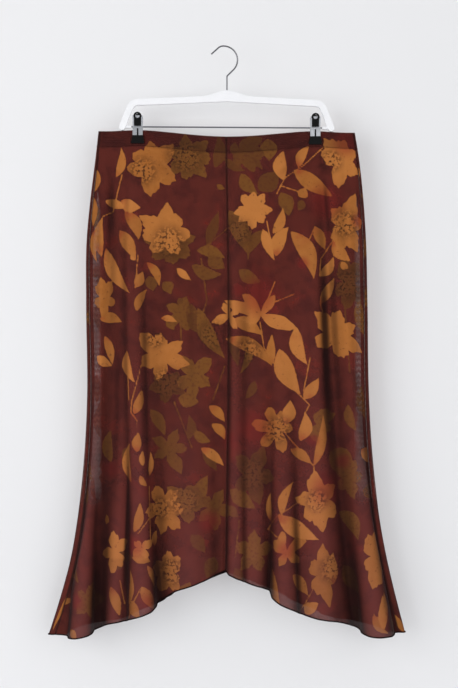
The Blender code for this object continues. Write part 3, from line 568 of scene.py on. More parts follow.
def panel_grid(panel, places, shares, inset):
    """Points of a panel: places along the outline, shares of its height, and how far inside."""
    side = side_of(panel)
    a = np.tile(places, (len(shares), 1))
    top = waist_of(panel, places)
    foot = hem_edge(panel, places)
    z = top + (foot - top) * np.asarray(shares)[:, None]
    line_x, line_y = outline(panel, a, z)
    free = (1 - grip(line_x, z)) * ease((top - z) / CALM_AT_WAIST)
    on_face = ease(abs(line_y) / CALM_AT_TURN)
    creases = FRONT_CREASES if side == "front" else BACK_CREASES
    lift = crease_height(creases, line_x, z) * free * on_face
    step = np.hypot(np.diff(line_x, axis=1), np.diff(line_y, axis=1))
    along = np.concatenate([np.zeros((len(shares), 1)), np.cumsum(step, axis=1)], axis=1)
    edges = ease(along / CALM_AT_SEAM) * ease((along[:, -1:] - along) / CALM_AT_SEAM)
    near_hem = ease((HEM_RIPPLE_REACH - (z - foot)) / HEM_RIPPLE_REACH)
    seed = 1.3 + 1.7 * PANELS.index(panel)
    lift += HEM_RIPPLE * ripple(along[-1][None, :], seed) * near_hem
    shift = lift * edges
    x, y = inward(panel, a, z, inset - shift)
    if panel in ("front_left", "back_right"):
        cloth = along - along[:, -1:]
    else:
        cloth = along
    return np.stack([x, y, z], axis=-1), cloth, z, shift


def even_places(panel, count):
    """Places along a panel that lie about evenly on its cloth near the hem."""
    fine = np.linspace(0.0, 1.0, 1500)
    x, y = outline(panel, fine, np.full_like(fine, SPREAD_LEVEL))
    length = walked(x, y)
    mixed = 0.75 * length / length[-1] + 0.25 * fine
    return np.interp(np.linspace(0.0, 1.0, count), mixed, fine)

# %% [markdown]
# ## The four printed panels
# Each panel is cut narrow at the waist and wide at the hem. Sewn together at the centre and the
# sides they give the tube. A panel is one sheet here, and it stands for the CAD wall of its name.

# %% Build the printed panels
panel_shares = np.linspace(0.0, 1.0, SHEET_ROWS)
panels = {}
panel_data = {}
for panel in PANELS:
    places = even_places(panel, SHEET_COLUMNS)
    grid, cloth, height, shift = panel_grid(panel, places, panel_shares, SHEET_INSET)
    panel_data[panel] = (grid, cloth, height, shift)
    print(panel, "hem cloth", round(float(abs(cloth[-1, 0] - cloth[-1, -1])), 4),
          "waist", round(float(abs(cloth[0, 0] - cloth[0, -1])), 4))

# %% [markdown]
# ## The print: a chart of leaves and flowers
# The cloth is printed with ordinary leaves and loose flowers in ochre, with an olive layer behind
# them like shadows, thin stems, red glows and dark speckles. It could be one image on the cloth.
# Here it is drawn instead: a chart says where each leaf starts and ends, and all of them share a
# few plain shapes of our own. The places are in steps of the picture, 1.75 mm each.

# %% Chart of the bright leaves
# start column and row, tip column and row, width
OCHRE_LEAVES = (
    (115, 176, 122, 146, 8), (120, 200, 142, 207, 12), (106, 200, 128, 207, 8),
    (101, 256, 104, 216, 10), (124, 211, 140, 240, 12), (119, 230, 137, 259, 12),
    (107, 248, 129, 293, 12), (130, 255, 137, 260, 4), (135, 287, 144, 271, 9),
    (137, 311, 148, 289, 8), (99, 319, 121, 322, 10), (106, 336, 111, 365, 8),
    (96, 356, 111, 366, 9), (126, 351, 134, 383, 9), (133, 414, 143, 389, 9),
    (136, 452, 139, 432, 9), (130, 482, 129, 442, 8), (144, 466, 144, 450, 6),
    (151, 476, 152, 452, 5), (140, 475, 149, 486, 6), (133, 531, 140, 501, 9),
    (131, 556, 152, 560, 9), (156, 546, 158, 530, 7), (148, 564, 156, 587, 7),
    (143, 584, 157, 608, 11), (131, 598, 140, 615, 11), (128, 603, 129, 567, 6),
    (111, 586, 123, 616, 10), (284, 179, 285, 149, 13), (299, 166, 311, 144, 9),
    (295, 169, 334, 196, 15), (300, 196, 307, 187, 10), (274, 233, 284, 207, 9),
    (264, 229, 274, 259, 10), (277, 256, 290, 226, 13), (292, 231, 315, 279, 16),
    (316, 226, 324, 249, 10), (333, 240, 352, 261, 12), (321, 276, 333, 256, 9),
    (321, 304, 335, 277, 9), (231, 320, 263, 335, 13), (227, 339, 271, 366, 13),
    (271, 364, 271, 334, 8), (278, 349, 299, 394, 18), (295, 327, 308, 365, 13),
    (302, 399, 319, 378, 11), (210, 406, 226, 422, 9), (213, 424, 226, 440, 9),
    (202, 448, 225, 466, 9), (285, 424, 291, 400, 13), (298, 441, 303, 412, 12),
    (312, 466, 323, 414, 9), (291, 449, 309, 464, 9), (279, 514, 294, 481, 9),
    (269, 521, 269, 492, 5), (276, 515, 314, 539, 15), (279, 530, 285, 542, 7),
    (270, 567, 277, 606, 11), (291, 573, 301, 594, 10), (300, 613, 311, 601, 12),
    (361, 449, 374, 464, 12), (372, 619, 376, 591, 7), (361, 611, 375, 631, 6),
    (386, 634, 384, 613, 7), (395, 631, 398, 611, 9), (66, 574, 72, 581, 4),
    (61, 606, 72, 601, 5), (74, 628, 85, 636, 9), (106, 525, 106, 515, 4),
    (342, 262, 350, 268, 7), (368, 628, 372, 594, 10), (329, 583, 330, 552, 14),
    (92, 168, 90, 192, 5), (92, 196, 92, 226, 7), (95, 228, 96, 262, 6), (88, 300, 90, 326, 5),
    (176, 268, 190, 280, 7), (160, 318, 176, 322, 6), (148, 262, 158, 286, 8),
)

# %% Chart of the bright flowers
# centre column and row, how far it dips in between two petals, the tips of its petals
OCHRE_FLOWERS = (
    (150, 166, 0.16, ((172, 142), (175, 180), (150, 198), (125, 169), (131, 149), (150, 140))),
    (164, 232, 0.16, ((167, 203), (181, 215), (191, 236), (177, 254), (152, 254), (141, 236),
                      (142, 216))),
    (254, 209, 0.24, ((254, 190), (266, 194), (274, 209), (266, 223), (253, 229), (240, 222),
                      (233, 212), (243, 194))),
    (341, 161, 0.12, ((339, 188), (360, 173), (321, 150), (324, 136), (344, 138), (358, 150))),
    (347, 226, 0.12, ((356, 194), (330, 207), (330, 237), (337, 252), (358, 250), (364, 222))),
    (105, 298, 0.20, ((100, 276), (111, 282), (114, 304), (104, 318), (95, 306))),
    (161, 355, 0.26, ((137, 331), (160, 334), (181, 342), (188, 365), (157, 380), (142, 367))),
    (229, 315, 0.46, ((224, 302), (241, 309), (210, 323), (238, 329))),
    (262, 315, 0.62, ((224, 300), (295, 328), (246, 293), (276, 296), (240, 326))),
    (335, 334, 0.26, ((315, 311), (341, 309), (356, 326), (361, 352), (345, 360), (315, 347))),
    (276, 429, 0.42, ((268, 405), (281, 412), (294, 428), (283, 454), (262, 446), (250, 424))),
    (162, 508, 0.30, ((177, 490), (156, 484), (180, 530), (146, 512), (160, 534), (182, 508))),
    (316, 500, 0.18, ((312, 470), (335, 514), (321, 533), (295, 498), (334, 486), (300, 518))),
    (142, 546, 0.30, ((154, 540), (148, 559), (133, 540), (131, 554))),
    (168, 571, 0.14, ((180, 556), (178, 589), (160, 593), (154, 566), (166, 549))),
    (285, 551, 0.40, ((302, 540), (270, 540), (276, 564), (297, 562))),
    (315, 573, 0.26, ((320, 544), (323, 605), (308, 592), (305, 561), (327, 577))),
    (368, 556, 0.26, ((361, 532), (373, 530), (379, 552), (376, 582), (362, 588), (357, 566))),
    (115, 551, 0.30, ((113, 529), (126, 540), (125, 566), (111, 574), (103, 555))),
)

# %% Chart of the stems
STEMS = (
    ((121, 174), (112, 211), (104, 216)), ((139, 255), (134, 288)),
    ((142, 366), (131, 400), (130, 412), (136, 421), (136, 435)), ((127, 374), (128, 400)),
    ((151, 486), (152, 538)), ((150, 518), (137, 532)), ((122, 580), (125, 603)),
    ((324, 146), (305, 164), (286, 177), (278, 193)), ((282, 185), (303, 192)),
    ((268, 221), (275, 259)), ((332, 240), (322, 259), (321, 276)), ((321, 304), (324, 312)),
    ((261, 322), (265, 348), (286, 381), (301, 398), (308, 405), (304, 412)),
    ((311, 358), (302, 391)), ((286, 434), (312, 466), (312, 476)),
    ((298, 501), (276, 514), (269, 524), (268, 529), (279, 539)), ((309, 584), (299, 609)),
    ((276, 282), (266, 306), (293, 294)), ((316, 226), (309, 243), (312, 262)),
    ((140, 586), (131, 604), (128, 620)),
)
OLIVE_STEMS = (
    ((228, 227), (204, 247)), ((180, 318), (180, 342)), ((173, 402), (193, 448)),
    ((252, 230), (249, 258)), ((200, 258), (206, 300), (197, 330)), ((226, 366), (214, 400)),
    ((240, 520), (236, 556)), ((345, 300), (350, 372)),
)

# %% Chart of the olive layer
OLIVE_LEAVES = (
    (214, 167, 219, 133, 12), (216, 184, 226, 188, 5), (206, 243, 218, 211, 10),
    (196, 250, 226, 258, 11), (229, 150, 264, 169, 13), (269, 138, 270, 160, 16),
    (226, 158, 246, 170, 8), (242, 173, 259, 193, 12), (260, 190, 280, 170, 18),
    (282, 192, 290, 216, 14), (303, 199, 299, 210, 8), (228, 210, 249, 254, 17),
    (264, 230, 250, 254, 10), (191, 265, 223, 274, 12), (208, 255, 226, 268, 14),
    (150, 276, 152, 291, 12), (162, 282, 170, 294, 11), (178, 298, 184, 310, 9),
    (167, 318, 173, 330, 8), (190, 304, 197, 333, 15), (197, 308, 226, 358, 15),
    (228, 335, 239, 366, 10), (249, 336, 241, 374, 8), (256, 381, 246, 399, 8),
    (177, 398, 200, 402, 13), (188, 439, 188, 415, 9), (195, 431, 212, 442, 9),
    (204, 451, 216, 471, 9), (202, 501, 209, 475, 12), (216, 519, 219, 492, 8),
    (229, 489, 256, 508, 14), (229, 505, 239, 516, 9), (346, 405, 356, 431, 9),
    (330, 452, 351, 471, 22), (361, 489, 374, 498, 14), (110, 463, 110, 430, 10),
    (216, 557, 207, 577, 14), (76, 556, 81, 582, 10), (88, 462, 93, 482, 7),
    (82, 486, 86, 506, 7), (124, 448, 124, 466, 9), (338, 512, 352, 540, 14),
    (192, 534, 206, 552, 12), (176, 596, 190, 580, 12), (236, 566, 246, 584, 11),
    (340, 566, 352, 592, 13), (346, 606, 352, 630, 9), (92, 584, 100, 612, 9),
    (90, 200, 94, 228, 8), (360, 300, 366, 336, 9), (362, 386, 368, 420, 8),
    (240, 270, 262, 282, 12), (152, 410, 164, 436, 11), (166, 456, 180, 474, 12),
)
OLIVE_FLOWERS = (
    (186, 156, 0.18, ((206, 140), (212, 158), (204, 176), (186, 180), (168, 172), (166, 148),
                      (184, 134))),
    (349, 284, 0.20, ((342, 256), (360, 262), (362, 300), (347, 312), (336, 292))),
    (193, 376, 0.24, ((212, 358), (210, 386), (194, 400), (174, 390), (182, 356))),
    (166, 384, 0.12, ((178, 372), (184, 392), (164, 404), (150, 390), (154, 370))),
    (184, 501, 0.12, ((198, 484), (207, 506), (188, 524), (166, 514), (166, 486))),
    (252, 474, 0.20, ((264, 446), (272, 478), (260, 504), (236, 492), (236, 456))),
    (253, 551, 0.28, ((254, 530), (271, 546), (262, 571), (241, 569), (236, 542))),
    (119, 557, 0.24, ((121, 544), (131, 556), (120, 571), (109, 560))),
    (318, 425, 0.40, ((331, 430), (326, 444), (334, 414))),
    (240, 150, 0.30, ((262, 136), (270, 152), (256, 172), (236, 166), (228, 146))),
    (180, 312, 0.26, ((186, 296), (198, 312), (186, 332), (168, 326), (166, 304))),
    (168, 448, 0.30, ((176, 430), (186, 448), (174, 466), (156, 458), (154, 438))),
    (345, 478, 0.24, ((352, 458), (362, 476), (350, 500), (336, 490), (334, 466))),
    (170, 243, 0.08, ((194, 236), (190, 256), (172, 266), (150, 258), (146, 240), (166, 222))),
    (214, 508, 0.26, ((222, 490), (232, 512), (216, 530), (200, 520), (202, 496))),
    (92, 600, 0.24, ((96, 582), (106, 598), (96, 618), (82, 612), (80, 590))),
)

# %% Chart of the glows and the speckles
# column, row, radius
GLOWS = (
    (345, 141, 20), (325, 201, 26), (261, 296, 30), (252, 428, 28), (326, 488, 24),
    (134, 545, 15), (284, 549, 15), (304, 263, 9), (313, 440, 9), (340, 462, 11),
    (150, 600, 15), (360, 220, 11), (110, 470, 12), (210, 520, 16), (230, 440, 14),
    (240, 290, 10), (78, 600, 12), (390, 600, 12),
)
SPECKLES = (
    (142, 170, 20), (168, 243, 24), (185, 156, 26), (346, 223, 20), (249, 352, 20),
    (238, 232, 20), (349, 284, 24), (212, 336, 22), (166, 384, 24), (184, 501, 24),
    (276, 430, 20), (170, 571, 20), (329, 567, 20), (154, 338, 14), (160, 508, 16),
    (252, 474, 26), (330, 160, 16), (316, 500, 16),
)
print("chart", len(OCHRE_LEAVES), "leaves", len(OCHRE_FLOWERS), "flowers", len(STEMS), "stems")

# %% [markdown]
# ## From the picture to the cloth
# A place in the picture is found again on the cloth: at its height the front outline is walked
# from the centre seam until it passes under that column. The length walked is the place's flat
# coordinate. In a fold the cloth runs back and forth, so the layer nearest the camera is taken.

# %% Flat places of the chart
FRONT_NEAR = -0.020
PIXELS = CAMERA_DISTANCE / STEP
NEAR_COLUMN = 1.2
walk = np.linspace(0.0, 1.0, 420)


def flat_place(column_px, row_px):
    """Flat coordinates on the front cloth of a place in the picture."""
    z = middle_z + (PICTURE_HEIGHT / 2 - row_px) / PIXELS * (CAMERA_DISTANCE + FRONT_NEAR)
    level = np.full_like(walk, z)
    xs, ys, lengths = [], [], []
    for panel in ("front_left", "front_right"):
        x, y = outline(panel, walk, level)
        length = walked(x, y)
        xs.append(x)
        ys.append(y)
        lengths.append(length - length[-1] if panel == "front_left" else length)
    x, y, length = (np.concatenate(parts) for parts in (xs, ys, lengths))
    seen = PICTURE_WIDTH / 2 + (x - middle_x) / (CAMERA_DISTANCE + y) * PIXELS
    miss = abs(seen - column_px)
    near = miss < NEAR_COLUMN
    best = np.argmin(np.where(near, y, 1.0)) if near.any() else np.argmin(miss)
    return length[best], z


MOST_BEND = 0.13


def own_bend(number):
    """A small bend of its own for each motif, by its number in the chart."""
    return MOST_BEND * math.sin(7.3 * number + 1.0)


def leaf_shapes(chart):
    """Leaves as (start, tip, width, bend, number)."""
    return [(flat_place(c0, r0), flat_place(c1, r1), width * STEP, own_bend(number), number)
            for number, (c0, r0, c1, r1, width) in enumerate(chart)]


def flower_shapes(chart):
    """Flowers as (centre, petal tips as angle and reach in order, dip between petals, number)."""
    shapes = []
    for number, (c0, r0, dip, tips) in enumerate(chart):
        s0, t0 = flat_place(c0, r0)
        reaches = []
        for tip in tips:
            s1, t1 = flat_place(*tip)
            reaches.append((math.atan2(t1 - t0, s1 - s0), math.hypot(s1 - s0, t1 - t0)))
        shapes.append(((s0, t0), sorted(reaches), dip, 100 + number))
    return shapes


front_chart = {
    "ochre": leaf_shapes(OCHRE_LEAVES), "ochre_flower": flower_shapes(OCHRE_FLOWERS),
    "olive": leaf_shapes(OLIVE_LEAVES), "olive_flower": flower_shapes(OLIVE_FLOWERS),
    "ochre_stem": [[flat_place(*p) for p in stem] for stem in STEMS],
    "olive_stem": [[flat_place(*p) for p in stem] for stem in OLIVE_STEMS],
    "glow": [(flat_place(c, r), radius * STEP) for c, r, radius in GLOWS],
    "speckle": [(flat_place(c, r), radius * STEP) for c, r, radius in SPECKLES],
}
print("motifs", {name: len(motifs) for name, motifs in front_chart.items()})

# %% [markdown]
# ## The back's print
# The back is cut from the same cloth at another place, so it has the same motifs elsewhere. The
# chart is mirrored and slid down by a repeat, and motifs that fall off the hem return at the top.
# A few leaves of its own lie on the strips of it that turn round the side edges to the front.

# %% Chart of the back
BACK_SLIDE = 0.31
CHART_TOP = -0.140
CHART_REACH = 0.800


def moved(points):
    """A motif's points mirrored and slid, kept together by its first point."""
    first = points[0][1]
    lower = CHART_TOP - (CHART_TOP - first + BACK_SLIDE) % CHART_REACH
    return [(-s, t + lower - first) for s, t in points]


def moved_shape(shape):
    """A leaf mirrored and slid."""
    start, tip = moved(shape[:2])
    return (start, tip, shape[2], -shape[3]) + shape[4:]


def moved_flower(shape):
    """A flower mirrored and slid."""
    tips = sorted((math.remainder(math.pi - angle, 2 * math.pi), reach)
                  for angle, reach in shape[1])
    return (moved([shape[0]])[0], tips) + shape[2:]


# Motifs that only the back has, beside its side seams: start and tip along and down, and width
BACK_EDGE_LEAVES = (
    (0.372, -0.870, 0.384, -1.024, 0.013), (0.366, -0.640, 0.372, -0.720, 0.010),
    (0.335, -0.250, 0.341, -0.330, 0.012), (0.345, -0.440, 0.340, -0.530, 0.010),
    (-0.372, -0.610, -0.368, -0.700, 0.010), (-0.352, -0.330, -0.358, -0.410, 0.012),
    (-0.383, -0.900, -0.376, -0.985, 0.010), (-0.384, -0.800, -0.374, -0.880, 0.022),
    (-0.374, -1.036, -0.386, -0.975, 0.018), (0.380, -0.700, 0.368, -0.790, 0.014),
)
back_chart = {}
for kind, motifs in front_chart.items():
    if kind.endswith("flower"):
        back_chart[kind] = [moved_flower(shape) for shape in motifs]
    elif kind.endswith("stem"):
        back_chart[kind] = [moved(stem) for stem in motifs]
    elif kind in ("glow", "speckle"):
        back_chart[kind] = [(moved([at])[0], radius) for at, radius in motifs]
    else:
        back_chart[kind] = [moved_shape(shape) for shape in motifs]
for number, (s0, t0, s1, t1, width) in enumerate(BACK_EDGE_LEAVES):
    back_chart["ochre"].append(((s0, t0), (s1, t1), width, own_bend(number), 3 * number))
print("back motifs", sum(len(motifs) for motifs in back_chart.values()))

# %% [markdown]
# ## Distance to the nearest motif
# A print stays crisp if the mesh knows, at each point, how far away the edge of the nearest motif
# is. The shader then cuts the colour where that distance is 0, anywhere between two points. The
# same walk notes how far along the motif the point is and how far from its middle vein. Other
# values say where painted shade darkens a valley, where a painted highlight lies on a ridge, and
# where no lining lies behind.

# %% Fields of the print
FIELD_REACH = 0.014
STEM_HALF = 0.0011
# A leaf's half width as a share of its width, and a belly nearer its start than its tip
LEAF_FULLNESS = 0.54
LEAF_BELLY = 0.80
# Two petal tips this far apart round the centre leave one petal's room, or so many at the most
PETAL_ANGLE = 1.25
PETAL_WIDEST = 1.5
PETAL_ROUND = 0.30
FLOWER_SLOPE = 0.85
FLOWER_ALONG = 0.6


def nearby(s, t, points, reach):
    """Which points of the cloth lie within reach of a motif's own points."""
    ps = [p[0] for p in points]
    pt = [p[1] for p in points]
    return np.nonzero((s > min(ps) - reach) & (s < max(ps) + reach)
                      & (t > min(pt) - reach) & (t < max(pt) + reach))[0]


def leaf_gap(s, t, shape):
    """Distance to a leaf's edge, place along it, and distance to its middle vein."""
    start, tip, width, bend, _ = shape
    run = np.array(tip) - np.array(start)
    length = max(float(np.hypot(*run)), 1e-4)
    run = run / length
    u = ((s - start[0]) * run[0] + (t - start[1]) * run[1]) / length
    v = (s - start[0]) * run[1] - (t - start[1]) * run[0]
    inside = np.clip(u, 0.0, 1.0)
    v = v - bend * length * 4 * inside * (1 - inside)
    half = LEAF_FULLNESS * width * np.sin(np.pi * inside**LEAF_BELLY)
    return np.maximum(abs(v) - half, np.maximum(-u, u - 1) * length), inside, abs(v)


def flower_gap(s, t, shape):
    """Distance to a flower's edge: its reach changes from petal tip to petal tip round it."""
    centre, tips, dip, own = shape
    across, up = s - centre[0], t - centre[1]
    away, angle = np.hypot(across, up), np.arctan2(up, across)
    around = [tips[-1]] + tips + [tips[0]]
    angles = np.array([turned for turned, _ in around])
    angles[0] -= 2 * math.pi
    angles[-1] += 2 * math.pi
    reaches = np.array([out for _, out in around])
    i = np.clip(np.searchsorted(angles, angle) - 1, 0, len(angles) - 2)
    share = (angle - angles[i]) / (angles[i + 1] - angles[i])
    wide = np.minimum((angles[i + 1] - angles[i]) / PETAL_ANGLE, PETAL_WIDEST)
    reach = reaches[i] * (1 - share) + reaches[i + 1] * share
    notch = np.exp(-(((share - 0.5) / (0.10 + 0.4 * max(0.0, dip - 0.3))) ** 2))
    reach = reach * (1 - PETAL_ROUND * wide * np.sin(np.pi * share) ** 0.75 - dip * wide * notch)
    reach = reach * (1 + 0.05 * np.sin(5 * angle + 2 * own) + 0.035 * np.sin(13 * angle + own)
                     + 0.02 * np.sin(29 * angle + 3 * own))
    return (away - reach) * FLOWER_SLOPE


def motif_field(s, t, leaves, flowers):
    """For the nearest leaf or flower: distance to its edge, place along it, distance to its
    vein, and its number."""
    distance = np.full(s.shape, FIELD_REACH)
    along = np.zeros_like(s)
    vein = np.full(s.shape, FIELD_REACH)
    number = np.zeros_like(s)

    def note(at, gap, inside, to_vein, own):
        """Notes a motif at the points where it is the nearest so far."""
        nearer = gap < distance[at]
        for field, value in ((distance, gap), (along, inside), (vein, to_vein), (number, own)):
            field[at[nearer]] = np.broadcast_to(value, gap.shape)[nearer]

    for leaf in leaves:
        at = nearby(s, t, leaf[:2], FIELD_REACH + leaf[2] / 2)
        note(at, *leaf_gap(s[at], t[at], leaf), leaf[-1])
    for flower in flowers:
        at = nearby(s, t, flower[:1], FIELD_REACH + max(reach for _, reach in flower[1]))
        note(at, flower_gap(s[at], t[at], flower), FLOWER_ALONG, FIELD_REACH, flower[-1])
    return distance, along, vein, number


def stem_field(s, t, stems):
    """Distance to the edge of the nearest stem."""
    distance = np.full(s.shape, FIELD_REACH)
    for stem in stems:
        for start, end in zip(stem[:-1], stem[1:]):
            at = nearby(s, t, (start, end), FIELD_REACH)
            run = np.array(end) - np.array(start)
            u = ((s[at] - start[0]) * run[0] + (t[at] - start[1]) * run[1]) / max(run @ run, 1e-8)
            u = np.clip(u, 0.0, 1.0)
            away = np.hypot(s[at] - start[0] - u * run[0], t[at] - start[1] - u * run[1])
            distance[at] = np.minimum(distance[at], away - STEM_HALF)
    return distance


def patch_field(s, t, patches):
    """1 in the middle of a soft round patch, 0 outside all of them."""
    level = np.zeros_like(s)
    for at_place, radius in patches:
        at = nearby(s, t, (at_place,), radius)
        away = np.hypot(s[at] - at_place[0], t[at] - at_place[1]) / radius
        level[at] = np.maximum(level[at], ease(1.25 * (1 - away)))
    return level

# %% Fields of the folds' shade
# How many points to each side a valley is looked for, and how deep the darkest are up and down
SHADE_REACH = 8
SHADE_DEPTH_TOP = 0.0050
SHADE_DEPTH_HEM = 0.0150
# A trough as deep as this at the hem is fully dark there
TROUGH_DEEP = 0.009
TROUGH_SPREAD = 1.15
TROUGH_AT_TOP = 0.12
TROUGH_FADE_IN = 0.12


def fold_shade(grid):
    """1 deep in a valley between two folds, 0 on their backs, from the points of a panel."""
    out = abs(grid[..., 1])
    padded = np.pad(out, ((0, 0), (SHADE_REACH, SHADE_REACH)), mode="edge")
    count = out.shape[1]
    around = np.stack([padded[:, k:k + count] for k in range(2 * SHADE_REACH + 1)])
    deep = around.max(axis=0) - out
    fall_share = np.linspace(0.0, 1.0, len(grid))[:, None]
    scale = SHADE_DEPTH_TOP + (SHADE_DEPTH_HEM - SHADE_DEPTH_TOP) * fall_share**1.5
    return ease(deep / scale)


def trough_shade(panel, x, z, way=-1):
    """1 along the middle of each trough of the fold tables, growing towards the hem.

    With way=1 it is 1 along each ridge instead, where the painted highlight goes.
    """
    shade = np.zeros_like(x)
    for row in FRONT_FOLDS if side_of(panel) == "front" else BACK_FOLDS:
        fold = dict(zip(FOLD_COLUMNS, row))
        if way * fold["hem_depth"] > 0:
            t, middle, width = fold_line(fold, z, furthest=1.0)
            deep = min(1.0, abs(fold["hem_depth"]) / TROUGH_DEEP)
            bell = np.exp(-(((x - middle) / (TROUGH_SPREAD * width)) ** 2))
            grown = TROUGH_AT_TOP + (1 - TROUGH_AT_TOP) * ease(t) ** 1.5
            shade = np.maximum(shade, deep * bell * grown * ease(t / TROUGH_FADE_IN))
    return shade

# %% All values of a panel's points
# Lengths of cloth over which a value fades, heights where it starts, and the depth and strength
# of the painted shade in a crease's trough
SINGLE_FADE = 0.004
CASING_FADE = 0.002
CREASE_DEEP = 0.0030
CREASE_SHADE = 0.65
STRIP_TOP = -0.84
STRIP_FADE = 0.08
SIDE_REACH = 0.08
SIDE_TOP = -0.74
SIDE_FADE = 0.2


def print_values(panel, cloth, height, grid, shift):
    """All the print's values for each point of a panel."""
    chart = front_chart if side_of(panel) == "front" else back_chart
    s, t = cloth.ravel(), height.ravel()
    ochre, along, vein, number = motif_field(s, t, chart["ochre"], chart["ochre_flower"])
    olive, _, _, olive_number = motif_field(s, t, chart["olive"], chart["olive_flower"])
    ochre_stem = stem_field(s, t, chart["ochre_stem"])
    below_waist = (grid[:1, :, 2] - height).ravel()
    last = cloth[:, -1:] if panel in ("front_right", "back_left") else cloth[:, :1]
    from_side = abs(cloth - last).ravel()
    from_seam = np.minimum(cloth - cloth[:, :1], cloth[:, -1:] - cloth).ravel()
    x = grid[..., 0]
    beyond = np.maximum(column(LINING, LINING_COLUMNS, "left", t) - x.ravel(),
                        x.ravel() - column(LINING, LINING_COLUMNS, "right", t))
    single = np.maximum(ease(beyond / SINGLE_FADE), ease((LINING_HEM - t) / SINGLE_FADE))
    # Painted shade: valleys between folds, troughs of the small creases and troughs of the fold
    # tables
    shade = np.maximum.reduce([fold_shade(grid), CREASE_SHADE * ease(-shift / CREASE_DEEP),
                               trough_shade(panel, x, height)])
    return {
        "cloth_across": s, "cloth_down": t,
        "ochre": np.minimum(ochre, ochre_stem), "ochre_along": along, "ochre_vein": vein,
        "ochre_tone": 0.5 + 0.5 * np.sin(5.1 * number),
        "olive": np.minimum(olive, stem_field(s, t, chart["olive_stem"])),
        "olive_tone": 0.5 + 0.5 * np.sin(3.3 * olive_number + 1.0), "from_seam": from_seam,
        "glow": patch_field(s, t, chart["glow"]),
        "speckle": patch_field(s, t, chart["speckle"]),
        "unlined": single, "strip": single * ease((t - STRIP_TOP) / STRIP_FADE),
        "casing": 1 - ease((below_waist - CASING_HEIGHT + CASING_FADE / 2) / CASING_FADE),
        # fold_shade says where painted shade goes, ridge where the painted highlight goes
        "fold_shade": shade.ravel(), "ridge": trough_shade(panel, x, height, way=1).ravel(),
        "near_side": ((1 - ease((from_side - SIDE_REACH) / SIDE_REACH))
                      * ease((SIDE_TOP - t) / SIDE_FADE)),
    }

# %% Make the printed sheets
for panel in PANELS:
    grid, cloth, height, shift = panel_data[panel]
    values = print_values(panel, cloth, height, grid, shift)
    panels[panel] = sheet_object("mesh_" + panel, grid, values)
    print(panel, "printed share", round(float((values["ochre"] < 0).mean()), 3))

# %% [markdown]
# ## The lining and the elastic
# The lining is a narrow plain tube that ends well above the hem. The waist edge of the mesh is
# turned in over a flat elastic, so the top 29 mm look darker. Both show through the mesh.

# %% Lining and casing sheets
LINING_ROWS = 150
LINING_POINTS = 120
LINING_TUCK = 0.002
CASING_INSET = 0.0019
CASING_TOP_GAP = 0.0006
CASING_ROWS = 12


def tube_places(first, second, count):
    """Places along two neighbouring panels: (panel, places) pairs that meet at the centre."""
    return [(first, even_places(first, count)), (second, even_places(second, count)[1:])]


def lining_grid(first, second):
    """Points of one side of the lining, over two panels."""
    parts = []
    for panel, places in tube_places(first, second, LINING_POINTS):
        top = waist_of(panel, places) - CASING_HEIGHT + LINING_TUCK
        z = top + (LINING_HEM - top) * np.linspace(0.0, 1.0, LINING_ROWS)[:, None]
        a = np.tile(places, (LINING_ROWS, 1))
        x, y = lining_outline(panel, a, z)
        parts.append(np.stack([x, y, z], axis=-1))
    return np.concatenate(parts, axis=1)


def casing_grid(first, second):
    """Points of one side of the elastic band inside the waist, over two panels."""
    parts = []
    for panel, places in tube_places(first, second, LINING_POINTS):
        top = waist_of(panel, places) - CASING_TOP_GAP
        z = top - (CASING_HEIGHT - CASING_TOP_GAP) * np.linspace(0.0, 1.0, CASING_ROWS)[:, None]
        a = np.tile(places, (CASING_ROWS, 1))
        x, y = inward(panel, a, z, CASING_INSET)
        parts.append(np.stack([x, y, z], axis=-1))
    return np.concatenate(parts, axis=1)


SIDES = {"front": ("front_left", "front_right"), "back": ("back_right", "back_left")}
lining = {}
casing = {}
for side, pair in SIDES.items():
    lining[side] = sheet_object("lining_sheet_" + side, lining_grid(*pair))
    casing[side] = sheet_object("elastic_" + side, casing_grid(*pair))
    print(side, "lining area", round(area_of(lining[side]), 4),
          "elastic area", round(area_of(casing[side]), 4))

# %% [markdown]
# ## Edges and seams
# The hem is a rolled edge, bound by dark thread, barely thicker than the cloth. Each seam has its
# allowance pressed flat inside, and it shows from the front as a darker strip. A line of short
# stitches holds the elastic at the casing's foot. All are cut and sewn after the panels, as here.

# %% Thread along a path
THREAD_SIDES = 6


def tube_mesh(name, paths, radius):
    """Round threads along paths of points, joined into one mesh."""
    points, faces = [], []
    angles = np.arange(THREAD_SIDES) * 2 * math.pi / THREAD_SIDES
    for path in paths:
        path = np.asarray(path)
        ahead = np.gradient(path, axis=0)
        ahead /= np.linalg.norm(ahead, axis=1, keepdims=True)
        helper = np.where(abs(ahead[:, 2:3]) > 0.9, [[1.0, 0, 0]], [[0, 0, 1.0]])
        across = np.cross(ahead, helper)
        across /= np.linalg.norm(across, axis=1, keepdims=True)
        up = np.cross(across, ahead)
        start = sum(len(p) for p in points)
        ring = (path[:, None, :] + radius * (np.cos(angles)[None, :, None] * across[:, None, :]
                                             + np.sin(angles)[None, :, None] * up[:, None, :]))
        points.append(ring.reshape(-1, 3))
        for i in range(len(path) - 1):
            for k in range(THREAD_SIDES):
                here = start + i * THREAD_SIDES
                after = (k + 1) % THREAD_SIDES
                faces.append((here + k, here + THREAD_SIDES + k,
                              here + THREAD_SIDES + after, here + after))
    return link_mesh(name, np.concatenate(points), faces)

# %% Rolled hem
HEM_THREAD = 0.0012
hem_threads = {}
for panel in PANELS:
    edge = panel_data[panel][0][-1]
    hem_threads[panel] = tube_mesh("rolled_hem_" + panel, [edge + [0, 0, HEM_THREAD]], HEM_THREAD)
print("rolled hem on", len(hem_threads), "panels")

# %% Seam allowances
ALLOWANCE = 0.0065
ALLOWANCE_START = 0.0002
ALLOWANCE_INSET = 0.0011
ALLOWANCE_ROWS = 240
ALLOWANCE_COLUMNS = 5
NEAR_SEAM = 0.10
NEAR_SEAM_POINTS = 60


